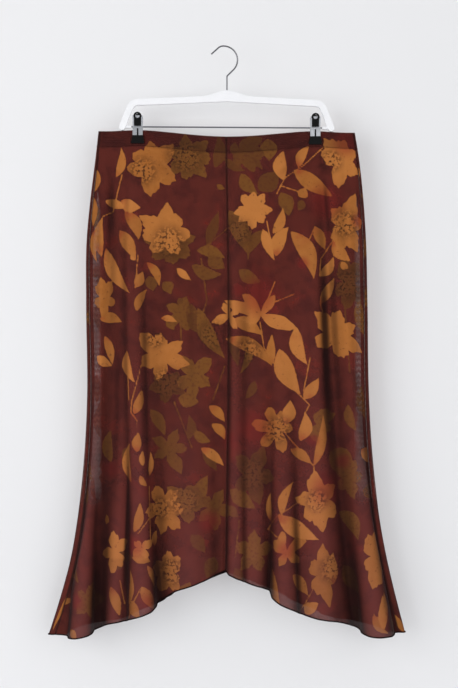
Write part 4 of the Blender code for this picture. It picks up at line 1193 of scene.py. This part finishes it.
def allowance_grid(panel, at_start):
    """Points of a strip along one of a panel's two seams, inside the cloth."""
    first = 0.0 if at_start else 1.0 - NEAR_SEAM
    near = np.linspace(first, first + NEAR_SEAM, NEAR_SEAM_POINTS)
    shares = np.linspace(0.0, 1.0, ALLOWANCE_ROWS)
    grid = panel_grid(panel, near, shares, ALLOWANCE_INSET)[0]
    if not at_start:
        grid = grid[:, ::-1]
    strip = []
    for row in grid:
        length = walked(row[:, 0], row[:, 1])
        spots = np.linspace(ALLOWANCE_START, ALLOWANCE, ALLOWANCE_COLUMNS)
        strip.append(np.stack([np.interp(spots, length, row[:, k]) for k in range(3)], axis=1))
    strip = np.array(strip)
    return strip if at_start else strip[:, ::-1]


SEAMS = (("front_left", False), ("front_right", True), ("front_left", True), ("back_right", True),
         ("back_right", False), ("back_left", True), ("front_right", False), ("back_left", False))
allowances = {}
for panel, at_start in SEAMS:
    name = "seam_strip_" + panel + ("_start" if at_start else "_end")
    strip = sheet_object(name, allowance_grid(panel, at_start))
    allowances.setdefault(panel, []).append(strip)
print("seam strips", sum(len(strips) for strips in allowances.values()))

# %% Stitches at the casing's foot
STITCH = 0.0026
STITCH_PITCH = 0.0036
STITCH_RADIUS = 0.00028
STITCH_ABOVE_FOOT = 0.0018
stitch_lines = {}
for panel in PANELS:
    fine = np.linspace(0.0, 1.0, 1200)
    level = waist_of(panel, fine) - CASING_HEIGHT + STITCH_ABOVE_FOOT
    x, y = inward(panel, fine, level, SHEET_INSET - 2 * STITCH_RADIUS)
    line = np.stack([x, y, level], axis=1)
    length = np.concatenate([[0], np.cumsum(np.linalg.norm(np.diff(line, axis=0), axis=1))])
    paths = []
    for start in np.arange(0.001, length[-1] - STITCH, STITCH_PITCH):
        spots = start + STITCH * np.array([0.0, 0.2, 0.5, 0.8, 1.0])
        path = np.stack([np.interp(spots, length, line[:, k]) for k in range(3)], axis=1)
        paths.append(path)
    stitch_lines[panel] = tube_mesh("casing_stitches_" + panel, paths, STITCH_RADIUS)
print("stitches", {p: len(o.data.polygons) for p, o in stitch_lines.items()})

# %% [markdown]
# ## Finishes from nodes
# Every finish is made of nodes, so it holds at any distance. Effects that several finishes share
# are node groups: the cut edge of a printed motif, the knit of the cloth, the ripples where two
# layers of mesh cross, and the slight mottle of moulded and drawn surfaces. The shader itself
# stays in each material.

# %% Helpers for nodes
def paint(red, green, blue):
    """A colour given as on a screen, 0 to 255, in the linear values that a shader wants."""
    return tuple((v / 255 / 12.92) if v <= 10 else ((v / 255 + 0.055) / 1.055) ** 2.4
                 for v in (red, green, blue)) + (1.0,)


def give(tree, node, inputs):
    """Links or sets a node's inputs by name or number."""
    for key, value in dict(inputs).items():
        if isinstance(value, bpy.types.NodeSocket):
            tree.links.new(value, node.inputs[key])
        else:
            node.inputs[key].default_value = value
    return node


def put(tree, kind, inputs=(), **settings):
    """Adds a node with its settings, and gives it its inputs."""
    node = tree.nodes.new("ShaderNode" + kind)
    for key, value in settings.items():
        setattr(node, key, value)
    return give(tree, node, inputs)


def calc(tree, operation, *values, clamp=False):
    """A math node's result."""
    return put(tree, "Math", enumerate(values), operation=operation, use_clamp=clamp).outputs[0]


def blend(tree, share, first, second):
    """Two colours mixed by a share. A colour Mix has its share at 0 and its colours at 6 and 7."""
    return put(tree, "Mix", {0: share, 6: first, 7: second}, data_type="RGBA").outputs[2]


def lay(tree, base, over, share, most):
    """One colour laid over another where a share is 1, at most so strongly."""
    return blend(tree, calc(tree, "MULTIPLY", share, most), base, over)


def fall(tree, value, start, end):
    """1 below start, 0 above end, smooth between."""
    return put(tree, "MapRange", {0: value, 1: start, 2: end, 3: 1.0, 4: 0.0},
               interpolation_type="SMOOTHSTEP").outputs[0]


def rise(tree, value, start, end):
    """0 below start, 1 above end, smooth between."""
    return calc(tree, "SUBTRACT", 1.0, fall(tree, value, start, end))


def noise(tree, vector, scale, detail=2.0, roughness=0.5):
    """Soft noise about 0.5."""
    return put(tree, "TexNoise", {"Vector": vector, "Scale": scale, "Detail": detail,
                                  "Roughness": roughness}).outputs["Fac"]


def new_group(name, inputs, outputs):
    """A node group with named sockets; returns it with its input and output nodes."""
    group = bpy.data.node_groups.new(name, "ShaderNodeTree")
    for label, kind, value in inputs:
        socket = group.interface.new_socket(label, in_out="INPUT", socket_type="NodeSocket" + kind)
        if value is not None:
            socket.default_value = value
    for label, kind in outputs:
        group.interface.new_socket(label, in_out="OUTPUT", socket_type="NodeSocket" + kind)
    return group, group.nodes.new("NodeGroupInput"), group.nodes.new("NodeGroupOutput")


def use_group(tree, group, inputs):
    """Places a group in a material and gives it its inputs."""
    return give(tree, put(tree, "Group", node_tree=group), inputs)


def new_finish(name):
    """A material with its tree and its Principled shader."""
    finish = bpy.data.materials.new(name)
    finish.use_nodes = True
    return finish, finish.node_tree, finish.node_tree.nodes["Principled BSDF"]


def feed(tree, shader, **inputs):
    """Links or sets the shader's inputs, named with _ for spaces."""
    give(tree, shader, {key.replace("_", " "): value for key, value in inputs.items()})

# %% Group: the cut edge of a motif
cut_group, cut_in, cut_out = new_group(
    "motif_edge", (("Distance", "Float", 0.0), ("Cloth", "Vector", None),
                   ("Wander", "Float", 0.0006), ("Softness", "Float", 0.0004)),
    (("Mask", "Float"),))
ROUGHNESS_PER_METRE = 210.0
NOISE_SPREAD = 4.0
wander = noise(cut_group, cut_in.outputs["Cloth"], ROUGHNESS_PER_METRE, 3.0)
wander = calc(cut_group, "SUBTRACT", wander, 0.5)
wander = calc(cut_group, "MULTIPLY", wander, cut_in.outputs["Wander"])
edge = calc(cut_group, "MULTIPLY_ADD", wander, NOISE_SPREAD, cut_in.outputs["Distance"])
edge = calc(cut_group, "DIVIDE", edge, cut_in.outputs["Softness"])
cut_group.links.new(fall(cut_group, edge, -1.0, 1.0), cut_out.inputs["Mask"])

# %% Group: the knit
# Height is the relief of the loops, Shade a slow unevenness of the yarn.
knit_group, knit_in, knit_out = new_group(
    "knit", (("Cloth", "Vector", None), ("Pitch", "Float", 0.0011)),
    (("Height", "Float"), ("Shade", "Float")))
turns = calc(knit_group, "DIVIDE", 2 * math.pi, knit_in.outputs["Pitch"])
apart = put(knit_group, "SeparateXYZ", {0: knit_in.outputs["Cloth"]})
wale = calc(knit_group, "SINE", calc(knit_group, "MULTIPLY", apart.outputs[0], turns))
course = calc(knit_group, "SINE", calc(knit_group, "MULTIPLY", apart.outputs[1], turns))
loops = calc(knit_group, "MULTIPLY", wale, course)
slow = noise(knit_group, knit_in.outputs["Cloth"], 46.0, 4.0, 0.6)
fine = noise(knit_group, knit_in.outputs["Cloth"], 420.0, 2.0)
knit_group.links.new(calc(knit_group, "MULTIPLY_ADD", fine, 0.8, loops),
                     knit_out.inputs["Height"])
knit_group.links.new(calc(knit_group, "MULTIPLY_ADD", slow, 0.6, calc(
    knit_group, "MULTIPLY", fine, 0.4)), knit_out.inputs["Shade"])

# %% Group: ripples where two layers of mesh cross
ACROSS_RATE = 1050.0
DOWN_RATE = 640.0
moire_group, moire_in, moire_out = new_group("mesh_ripples", (("Cloth", "Vector", None),),
                                             (("Bands", "Float"),))
apart = put(moire_group, "SeparateXYZ", {0: moire_in.outputs["Cloth"]})
bend_in = noise(moire_group, moire_in.outputs["Cloth"], 30.0, 1.0)
links_row = calc(moire_group, "SINE", calc(moire_group, "MULTIPLY", apart.outputs[0],
                                       ACROSS_RATE))
phase = calc(moire_group, "MULTIPLY_ADD", links_row, 1.1,
             calc(moire_group, "MULTIPLY", bend_in, 7.0))
phase = calc(moire_group, "MULTIPLY_ADD", apart.outputs[1], DOWN_RATE, phase)
moire_group.links.new(calc(moire_group, "MULTIPLY_ADD", calc(moire_group, "SINE", phase), 0.5,
                           0.5), moire_out.inputs["Bands"])

# %% Group: mottle of moulded and drawn surfaces
mottle_group, mottle_in, mottle_out = new_group(
    "mottle", (("Place", "Vector", None), ("Grain", "Float", 300.0)),
    (("Amount", "Float"), ("Height", "Float")))
broad = noise(mottle_group, mottle_in.outputs["Place"], 60.0, 3.0)
grain = noise(mottle_group, mottle_in.outputs["Place"], mottle_in.outputs["Grain"], 3.0, 0.6)
mottle_group.links.new(calc(mottle_group, "MULTIPLY_ADD", broad, 0.6, calc(
    mottle_group, "MULTIPLY", grain, 0.4)), mottle_out.inputs["Amount"])
mottle_group.links.new(grain, mottle_out.inputs["Height"])
print("node groups", [g.name for g in bpy.data.node_groups])

# %% [markdown]
# ## The printed mesh
# The ground is a deep maroon that clouds into red. The olive layer lies on it, then the glows,
# then the ochre layer with its darker veins, red starts and worn flecks, and last the speckles.
# Ridges get a painted highlight and valleys painted shade. Light passes between the yarns, so
# the cloth is partly clear: less so where print fills the yarn or where it lies in a fold.

# %% Colours of the print
MAROON = paint(95, 40, 33)
MAROON_DEEP = paint(80, 33, 29)
GROUND_RED = paint(110, 41, 33)
GLOW_RED = paint(118, 37, 33)
OLIVE = paint(124, 80, 34)
OLIVE_DARK = paint(96, 58, 28)
OCHRE = paint(185, 115, 55)
OCHRE_LIGHT = paint(196, 127, 69)
OCHRE_DARK = paint(150, 88, 34)
RUST = paint(146, 58, 36)
RUST_DARK = paint(92, 48, 28)
SPECKLE_DARK = paint(44, 21, 18)
CASING_DARK = paint(30, 14, 16)
# Colour of the painted shade laid in fold valleys and crease troughs
PAINTED_FOLD_SHADE = paint(24, 9, 9)
# Colour of the painted highlight laid along fold ridges
PAINTED_RIDGE_HIGHLIGHT = paint(150, 84, 84)


def carried(tree, name):
    """One of the values that a panel's points carry."""
    return put(tree, "Attribute", attribute_name=name).outputs["Fac"]

# %% Ground, olive layer and glows
def motif_mask(tree, cloth, name, wander, softness):
    """1 inside the motifs of a layer, 0 outside them."""
    return use_group(tree, cut_group, {"Distance": carried(tree, name), "Cloth": cloth,
                                       "Wander": wander, "Softness": softness}).outputs[0]


def ground_colour(tree, clouds, reds, grunge, olive_mask):
    """The maroon ground with its reds, the olive layer and the glows on it."""
    ground = blend(tree, fall(tree, clouds, 0.36, 0.56), MAROON, MAROON_DEEP)
    ground = blend(tree, rise(tree, reds, 0.54, 0.74), ground, GROUND_RED)
    olive = blend(tree, carried(tree, "olive_tone"), OLIVE, OLIVE_DARK)
    olive = lay(tree, olive, MAROON_DEEP, rise(tree, grunge, 0.50, 0.62), 0.45)
    ground = lay(tree, ground, olive, olive_mask, 0.86)
    cloudy = calc(tree, "MULTIPLY_ADD", clouds, 0.9, 0.25)
    cloudy = calc(tree, "MULTIPLY", carried(tree, "glow"), cloudy, clamp=True)
    return blend(tree, cloudy, ground, GLOW_RED)

# %% The ochre layer
def ochre_colour(tree, cloth, clouds, reds, grunge):
    """The bright leaves and flowers, with strokes, red starts, worn flecks, veins and rims."""
    leaf = blend(tree, carried(tree, "ochre_tone"), OCHRE, OCHRE_DARK)
    leaf = lay(tree, leaf, OCHRE_LIGHT, noise(tree, cloth, 90.0, 3.0, 0.6), 0.5)
    start = fall(tree, carried(tree, "ochre_along"), 0.0, 0.45)
    rusty = calc(tree, "MULTIPLY", start, fall(tree, reds, 0.60, 0.46))
    leaf = lay(tree, leaf, RUST, rusty, 0.75)
    leaf = lay(tree, leaf, RUST, carried(tree, "glow"), 0.75)
    worn = calc(tree, "MULTIPLY", fall(tree, grunge, 0.36, 0.40), fall(tree, clouds, 0.56, 0.44))
    leaf = lay(tree, leaf, RUST_DARK, worn, 0.70)
    vein = fall(tree, carried(tree, "ochre_vein"), 0.0002, 0.0006)
    leaf = lay(tree, leaf, OCHRE_DARK, vein, 0.18)
    rim = rise(tree, carried(tree, "ochre"), -0.0016, -0.0004)
    return lay(tree, leaf, OCHRE_DARK, rim, 0.25)

# %% Speckles
def speckle_share(tree, grunge):
    """1 on a dark speckle: specks of a rough noise that crowd towards a speckle's middle."""
    patch = carried(tree, "speckle")
    reach = calc(tree, "MULTIPLY_ADD", patch, 0.16, calc(tree, "ADD", grunge, -0.6))
    gaps = calc(tree, "MULTIPLY", rise(tree, reach, -0.010, 0.025), fall(tree, patch, 0.5, 0.0))
    return calc(tree, "MULTIPLY", calc(tree, "SUBTRACT", 1.0, gaps), patch)

# %% Ripples below the lining
def crossing_share(tree, reds):
    """1 where two layers of mesh cross with no lining between them, in uneven patches."""
    crossing = calc(tree, "MULTIPLY_ADD", carried(tree, "unlined"), 0.12,
                    calc(tree, "MULTIPLY", carried(tree, "strip"), 0.88))
    crossing = calc(tree, "SUBTRACT", crossing, carried(tree, "near_side"), clamp=True)
    patchy = calc(tree, "MULTIPLY_ADD", reds, 2.0, -0.5, clamp=True)
    return calc(tree, "MULTIPLY", crossing, patchy)

# %% How opaque the mesh is
MESH_COVER = 0.82
OCHRE_COVER = 0.14
OLIVE_COVER = 0.08
SIDE_COVER = 0.15
FOLD_COVER = 0.12
RIPPLE_COVER = -0.26
SINGLE_COVER = 0.09
STRIP_COVER = -0.15
KNIT_COVER = 0.06
MOST_COVER = 0.97


def mesh_cover(tree, mask, olive_mask, ripples, knit_shade):
    """The mesh's own cover, and what print, folds and layers behind it add or take."""
    cover = MESH_COVER
    for share, extra in ((mask, OCHRE_COVER), (olive_mask, OLIVE_COVER),
                         (carried(tree, "near_side"), SIDE_COVER),
                         (carried(tree, "fold_shade"), FOLD_COVER), (ripples, RIPPLE_COVER),
                         (carried(tree, "unlined"), SINGLE_COVER),
                         (carried(tree, "strip"), STRIP_COVER), (knit_shade, KNIT_COVER)):
        cover = calc(tree, "MULTIPLY_ADD", share, extra, cover)
    return calc(tree, "MINIMUM", cover, MOST_COVER)

# %% Printed mesh
MESH_PITCH = 0.0011


def printed_mesh():
    """The sheer printed cloth."""
    finish, tree, shader = new_finish("printed_mesh_cloth")
    cloth = put(tree, "CombineXYZ", {0: carried(tree, "cloth_across"),
                                     1: carried(tree, "cloth_down")}).outputs[0]
    clouds = noise(tree, cloth, 34.0, 4.0, 0.6)
    reds = noise(tree, cloth, 19.0, 3.0, 0.55)
    grunge = noise(tree, cloth, 190.0, 6.0, 0.62)
    olive_mask = motif_mask(tree, cloth, "olive", wander=0.0010, softness=0.0006)
    mask = motif_mask(tree, cloth, "ochre", wander=0.0006, softness=0.0004)
    colour = blend(tree, mask, ground_colour(tree, clouds, reds, grunge, olive_mask),
                   ochre_colour(tree, cloth, clouds, reds, grunge))
    colour = lay(tree, colour, SPECKLE_DARK, speckle_share(tree, grunge), 0.85)
    knit = use_group(tree, knit_group, {"Cloth": cloth, "Pitch": MESH_PITCH})
    colour = lay(tree, colour, SPECKLE_DARK, knit.outputs["Shade"], 0.22)
    colour = lay(tree, colour, CASING_DARK, carried(tree, "casing"), 0.42)
    # Painted highlight along the ridges of the folds
    colour = lay(tree, colour, PAINTED_RIDGE_HIGHLIGHT, carried(tree, "ridge"), 0.22)
    # Painted shade in the valleys between folds and in crease troughs
    colour = lay(tree, colour, PAINTED_FOLD_SHADE, carried(tree, "fold_shade"), 0.92)
    # A dark line along each seam: partly its layered edge, partly painted shade in its groove
    seam_line = fall(tree, carried(tree, "from_seam"), 0.0006, 0.0024)
    colour = lay(tree, colour, SPECKLE_DARK, seam_line, 0.75)
    hem_band = calc(tree, "SUBTRACT", carried(tree, "unlined"), carried(tree, "strip"),
                    clamp=True)
    colour = lay(tree, colour, SPECKLE_DARK, hem_band, 0.15)
    bands = use_group(tree, moire_group, {"Cloth": cloth}).outputs[0]
    crossing = crossing_share(tree, reds)
    ripples = calc(tree, "MULTIPLY", bands, crossing)
    # Painted shade on the cloth between the ripples, where two layers of mesh cross with no lining
    between = calc(tree, "SUBTRACT", crossing, ripples, clamp=True)
    colour = lay(tree, colour, SPECKLE_DARK, between, 0.24)
    bump = put(tree, "Bump", {"Strength": 0.35, "Distance": 0.00025,
                              "Height": knit.outputs["Height"]})
    feed(tree, shader, Base_Color=colour, Normal=bump.outputs[0],
         Alpha=mesh_cover(tree, mask, olive_mask, ripples, knit.outputs["Shade"]),
         Roughness=calc(tree, "MULTIPLY_ADD", clouds, 0.2, 0.62),
         Specular_IOR_Level=0.06, Sheen_Weight=0.02, Sheen_Roughness=0.45)
    return finish


mesh_cloth = printed_mesh()
for obj in panels.values():
    obj.data.materials.append(mesh_cloth)
print("printed mesh on", len(panels), "panels")

# %% [markdown]
# ## Lining, elastic and thread
# The lining is a plain maroon jersey, quite opaque. The elastic under the casing is darker and
# ribbed along its length. The hem's thread is nearly black. The lining and the elastic share the
# knit group at other pitches, from the piece's own UV map scaled to metres.

# %% Plain cloths
def plain_cloth(name, light, dark, size, pitch, rib=0.0, roughness=0.8):
    """A plain knit in two near colours; rib is the pitch of ribs along its length."""
    finish, tree, shader = new_finish(name)
    flat = put(tree, "TexCoord").outputs["UV"]
    cloth = put(tree, "Mapping", {"Vector": flat, "Scale": size}).outputs[0]
    knit = use_group(tree, knit_group, {"Cloth": cloth, "Pitch": pitch})
    colour = blend(tree, knit.outputs["Shade"], light, dark)
    height = knit.outputs["Height"]
    if rib:
        down = put(tree, "SeparateXYZ", {0: cloth}).outputs[1]
        ribs = calc(tree, "SINE", calc(tree, "MULTIPLY", down, 2 * math.pi / rib))
        height = calc(tree, "MULTIPLY_ADD", ribs, 2.0, height)
        colour = blend(tree, calc(tree, "MULTIPLY_ADD", ribs, 0.08, 0.1), colour, dark)
    bump = put(tree, "Bump", {"Strength": 0.5, "Distance": 0.0003, "Height": height})
    rough = calc(tree, "MULTIPLY_ADD", knit.outputs["Shade"], 0.15, roughness - 0.07)
    feed(tree, shader, Base_Color=colour, Normal=bump.outputs[0], Roughness=rough,
         Specular_IOR_Level=0.2)
    return finish


lining_cloth = plain_cloth("lining_jersey", paint(84, 34, 31), paint(58, 24, 23),
                           size=(0.45, 0.72, 1.0), pitch=0.0012)
elastic_cloth = plain_cloth("elastic_rib", paint(30, 15, 15), paint(16, 9, 10),
                            size=(0.46, 0.029, 1.0), pitch=0.0014, rib=0.0032)
strip_cloth = plain_cloth("seam_allowance", paint(46, 21, 20), paint(30, 14, 14),
                          size=(0.0065, 0.85, 1.0), pitch=0.0012)
for side in SIDES:
    lining[side].data.materials.append(lining_cloth)
    casing[side].data.materials.append(elastic_cloth)
for strips in allowances.values():
    for strip in strips:
        strip.data.materials.append(strip_cloth)


TWIST_RATE = 5200.0


def thread_finish(name, light, dark):
    """Twisted thread: fine slanting bands of two near colours."""
    finish, tree, shader = new_finish(name)
    spot = put(tree, "TexCoord").outputs["Object"]
    apart = put(tree, "SeparateXYZ", {0: spot})
    slant = calc(tree, "ADD", apart.outputs[0], apart.outputs[2])
    twist = calc(tree, "SINE", calc(tree, "MULTIPLY", slant, TWIST_RATE))
    uneven = noise(tree, spot, 240.0, 3.0)
    share = calc(tree, "MULTIPLY_ADD", twist, 0.2, uneven, clamp=True)
    bump = put(tree, "Bump", {"Strength": 0.6, "Distance": 0.0002, "Height": twist})
    feed(tree, shader, Base_Color=blend(tree, share, light, dark), Normal=bump.outputs[0],
         Roughness=calc(tree, "MULTIPLY_ADD", uneven, 0.2, 0.7), Specular_IOR_Level=0.06)
    return finish


hem_finish = thread_finish("hem_thread", paint(32, 14, 11), paint(15, 8, 7))
stitch_finish = thread_finish("stitch_thread", paint(74, 34, 30), paint(40, 20, 18))
for panel in PANELS:
    hem_threads[panel].data.materials.append(hem_finish)
    stitch_lines[panel].data.materials.append(stitch_finish)
print("plain cloths and threads done")

# %% [markdown]
# ## The hanger
# The rail is glossy white moulded plastic, a little uneven. The hook and bar are plain steel wire,
# and the clips have steel leaves with black moulded levers and jaws. Their CAD shapes stay, so
# only finishes are made here, and they share the mottle group.

# %% Hanger finishes
def hard_finish(name, light, dark, roughness, metallic=0.0, grain=300.0, relief=0.00005,
                stretch=(1.0, 1.0, 1.0), gloss=0.5):
    """A moulded or drawn hard surface in two near colours."""
    finish, tree, shader = new_finish(name)
    spot = put(tree, "Mapping", {"Vector": put(tree, "TexCoord").outputs["Object"],
                                 "Scale": stretch}).outputs[0]
    mottle = use_group(tree, mottle_group, {"Place": spot, "Grain": grain})
    bump = put(tree, "Bump", {"Strength": 0.4, "Distance": relief,
                              "Height": mottle.outputs["Height"]})
    rough = calc(tree, "MULTIPLY_ADD", mottle.outputs["Amount"], 0.24, roughness - 0.12)
    feed(tree, shader, Normal=bump.outputs[0], Roughness=rough, Metallic=metallic,
         Base_Color=blend(tree, mottle.outputs["Amount"], light, dark), Specular_IOR_Level=gloss)
    return finish


white_plastic = hard_finish("white_moulded_plastic", paint(242, 242, 244),
                            paint(228, 229, 232), 0.34)
hook_steel = hard_finish("hook_wire_steel", paint(120, 120, 124), paint(74, 74, 78), 0.30,
                         metallic=1.0, grain=900.0)
bar_steel = hard_finish("bar_steel", paint(150, 152, 158), paint(96, 98, 104), 0.34,
                        metallic=1.0, grain=500.0, stretch=(0.05, 1.0, 1.0))
leaf_steel = hard_finish("clip_steel", paint(214, 216, 220), paint(166, 168, 174), 0.26,
                         metallic=1.0, grain=800.0, stretch=(1.0, 1.0, 0.08))
black_plastic = hard_finish("black_moulded_plastic", paint(8, 8, 8), paint(4, 4, 4), 0.42,
                            grain=900.0, gloss=0.12)
FINISH_OF = {"frame": white_plastic, "hook": hook_steel, "bar": bar_steel, "leaf": leaf_steel,
             "spring": leaf_steel, "lever": black_plastic, "jaw": black_plastic}
for name, node in nodes.items():
    finish = FINISH_OF.get(name.rsplit("_", 1)[-1])
    if finish is not None:
        for slot in node.material_slots:
            slot.material = finish
print("hanger finishes on", sum(n.rsplit("_", 1)[-1] in FINISH_OF for n in nodes), "nodes")

# %% [markdown]
# ## Putting each piece on the body
# Every piece rides on the one body, and the CAD solid that each sheet stands for is hidden.

for panel, obj in panels.items():
    extras = allowances[panel] + [hem_threads[panel], stitch_lines[panel]]
    for piece in [obj] + extras:
        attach(piece, "root")
    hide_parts(panel)
    face, side = panel.split("_")
for side in SIDES:
    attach(lining[side], "root")
    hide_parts("lining_" + side)
    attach(casing[side], "root")
    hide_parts("casing_" + side)

# %% [markdown]
# ## A plain stage
# A pale wall stands just behind the skirt and a pale floor below it. The wall is clear from
# behind, so that the back can be seen too, and it gives off a little light of its own, which
# keeps its shadows faint. One soft light at the left throws them to the right; a wide weak one,
# one behind and the world's grey fill the rest.

# %% Wall and floor
WALL_BEHIND = 0.050
FLOOR_BELOW = -1.20
STAGE_HALF = 3.0
WALL_GREY = (0.53, 0.53, 0.54, 1)
WALL_GLOW = (0.985, 0.99, 1.0, 1)
WALL_GLOW_STRENGTH = 0.27
FLOOR_GREY = (0.74, 0.74, 0.76, 1)


def stage_plane(name, corners, grey):
    """A flat matt rectangle of the stage, with the tree and the shader of its paint."""
    obj = link_mesh(name, corners, [(0, 1, 2, 3)], smooth=False)
    finish, tree, shader = new_finish(name + "_paint")
    feed(tree, shader, Base_Color=grey, Roughness=0.9)
    obj.data.materials.append(finish)
    return obj, tree, shader


STAGE_SIDES = (-STAGE_HALF, STAGE_HALF)
wall, wall_tree, wall_shader = stage_plane(
    "stage_wall", [(STAGE_SIDES[0], WALL_BEHIND, FLOOR_BELOW),
                   (STAGE_SIDES[1], WALL_BEHIND, FLOOR_BELOW),
                   (STAGE_SIDES[1], WALL_BEHIND, STAGE_HALF),
                   (STAGE_SIDES[0], WALL_BEHIND, STAGE_HALF)], WALL_GREY)
stage_plane("stage_floor", [(x, y, FLOOR_BELOW) for y in STAGE_SIDES
                            for x in (STAGE_SIDES if y < 0 else STAGE_SIDES[::-1])], FLOOR_GREY)
backfacing = put(wall_tree, "NewGeometry").outputs["Backfacing"]
feed(wall_tree, wall_shader, Emission_Color=WALL_GLOW, Emission_Strength=WALL_GLOW_STRENGTH,
     Alpha=calc(wall_tree, "SUBTRACT", 1.0, backfacing))
wall.visible_shadow = False  # the back light reaches the skirt's back through it
print("stage wall at y", WALL_BEHIND, "floor at z", FLOOR_BELOW)

# %% Lights
# name, place, watts, side of the square
LIGHTS = (
    ("key_light", (-2.2, -2.3, -0.4), 56, 2.4),
    ("fill_light", (1.8, -3.0, -0.3), 34, 2.8),
    ("back_light", (0.6, 2.8, 0.9), 85, 2.2),
)
SKIRT_MIDDLE = (0.0, 0.0, -0.55)


def area_light(name, at, aim, watts, side):
    """A square soft light at a place, aimed at a point."""
    data = bpy.data.lights.new(name, "AREA")
    data.energy = watts
    data.size = side
    lamp = bpy.data.objects.new(name, data)
    lamp.location = at
    way = np.array(aim) - np.array(at)
    lamp.rotation_euler = (math.acos(-way[2] / np.linalg.norm(way)), 0,
                           math.atan2(way[1], way[0]) - math.pi / 2)
    bpy.context.scene.collection.objects.link(lamp)


for name, at, watts, side in LIGHTS:
    area_light(name, at, SKIRT_MIDDLE, watts, side)
world = bpy.data.worlds.new("studio")
world.use_nodes = True
give(world.node_tree, world.node_tree.nodes["Background"],
     {"Color": (0.98, 0.99, 1.0, 1), "Strength": 0.55})
bpy.context.scene.world = world
bpy.context.scene.view_settings.view_transform = "Standard"
print("lights set", len(LIGHTS))
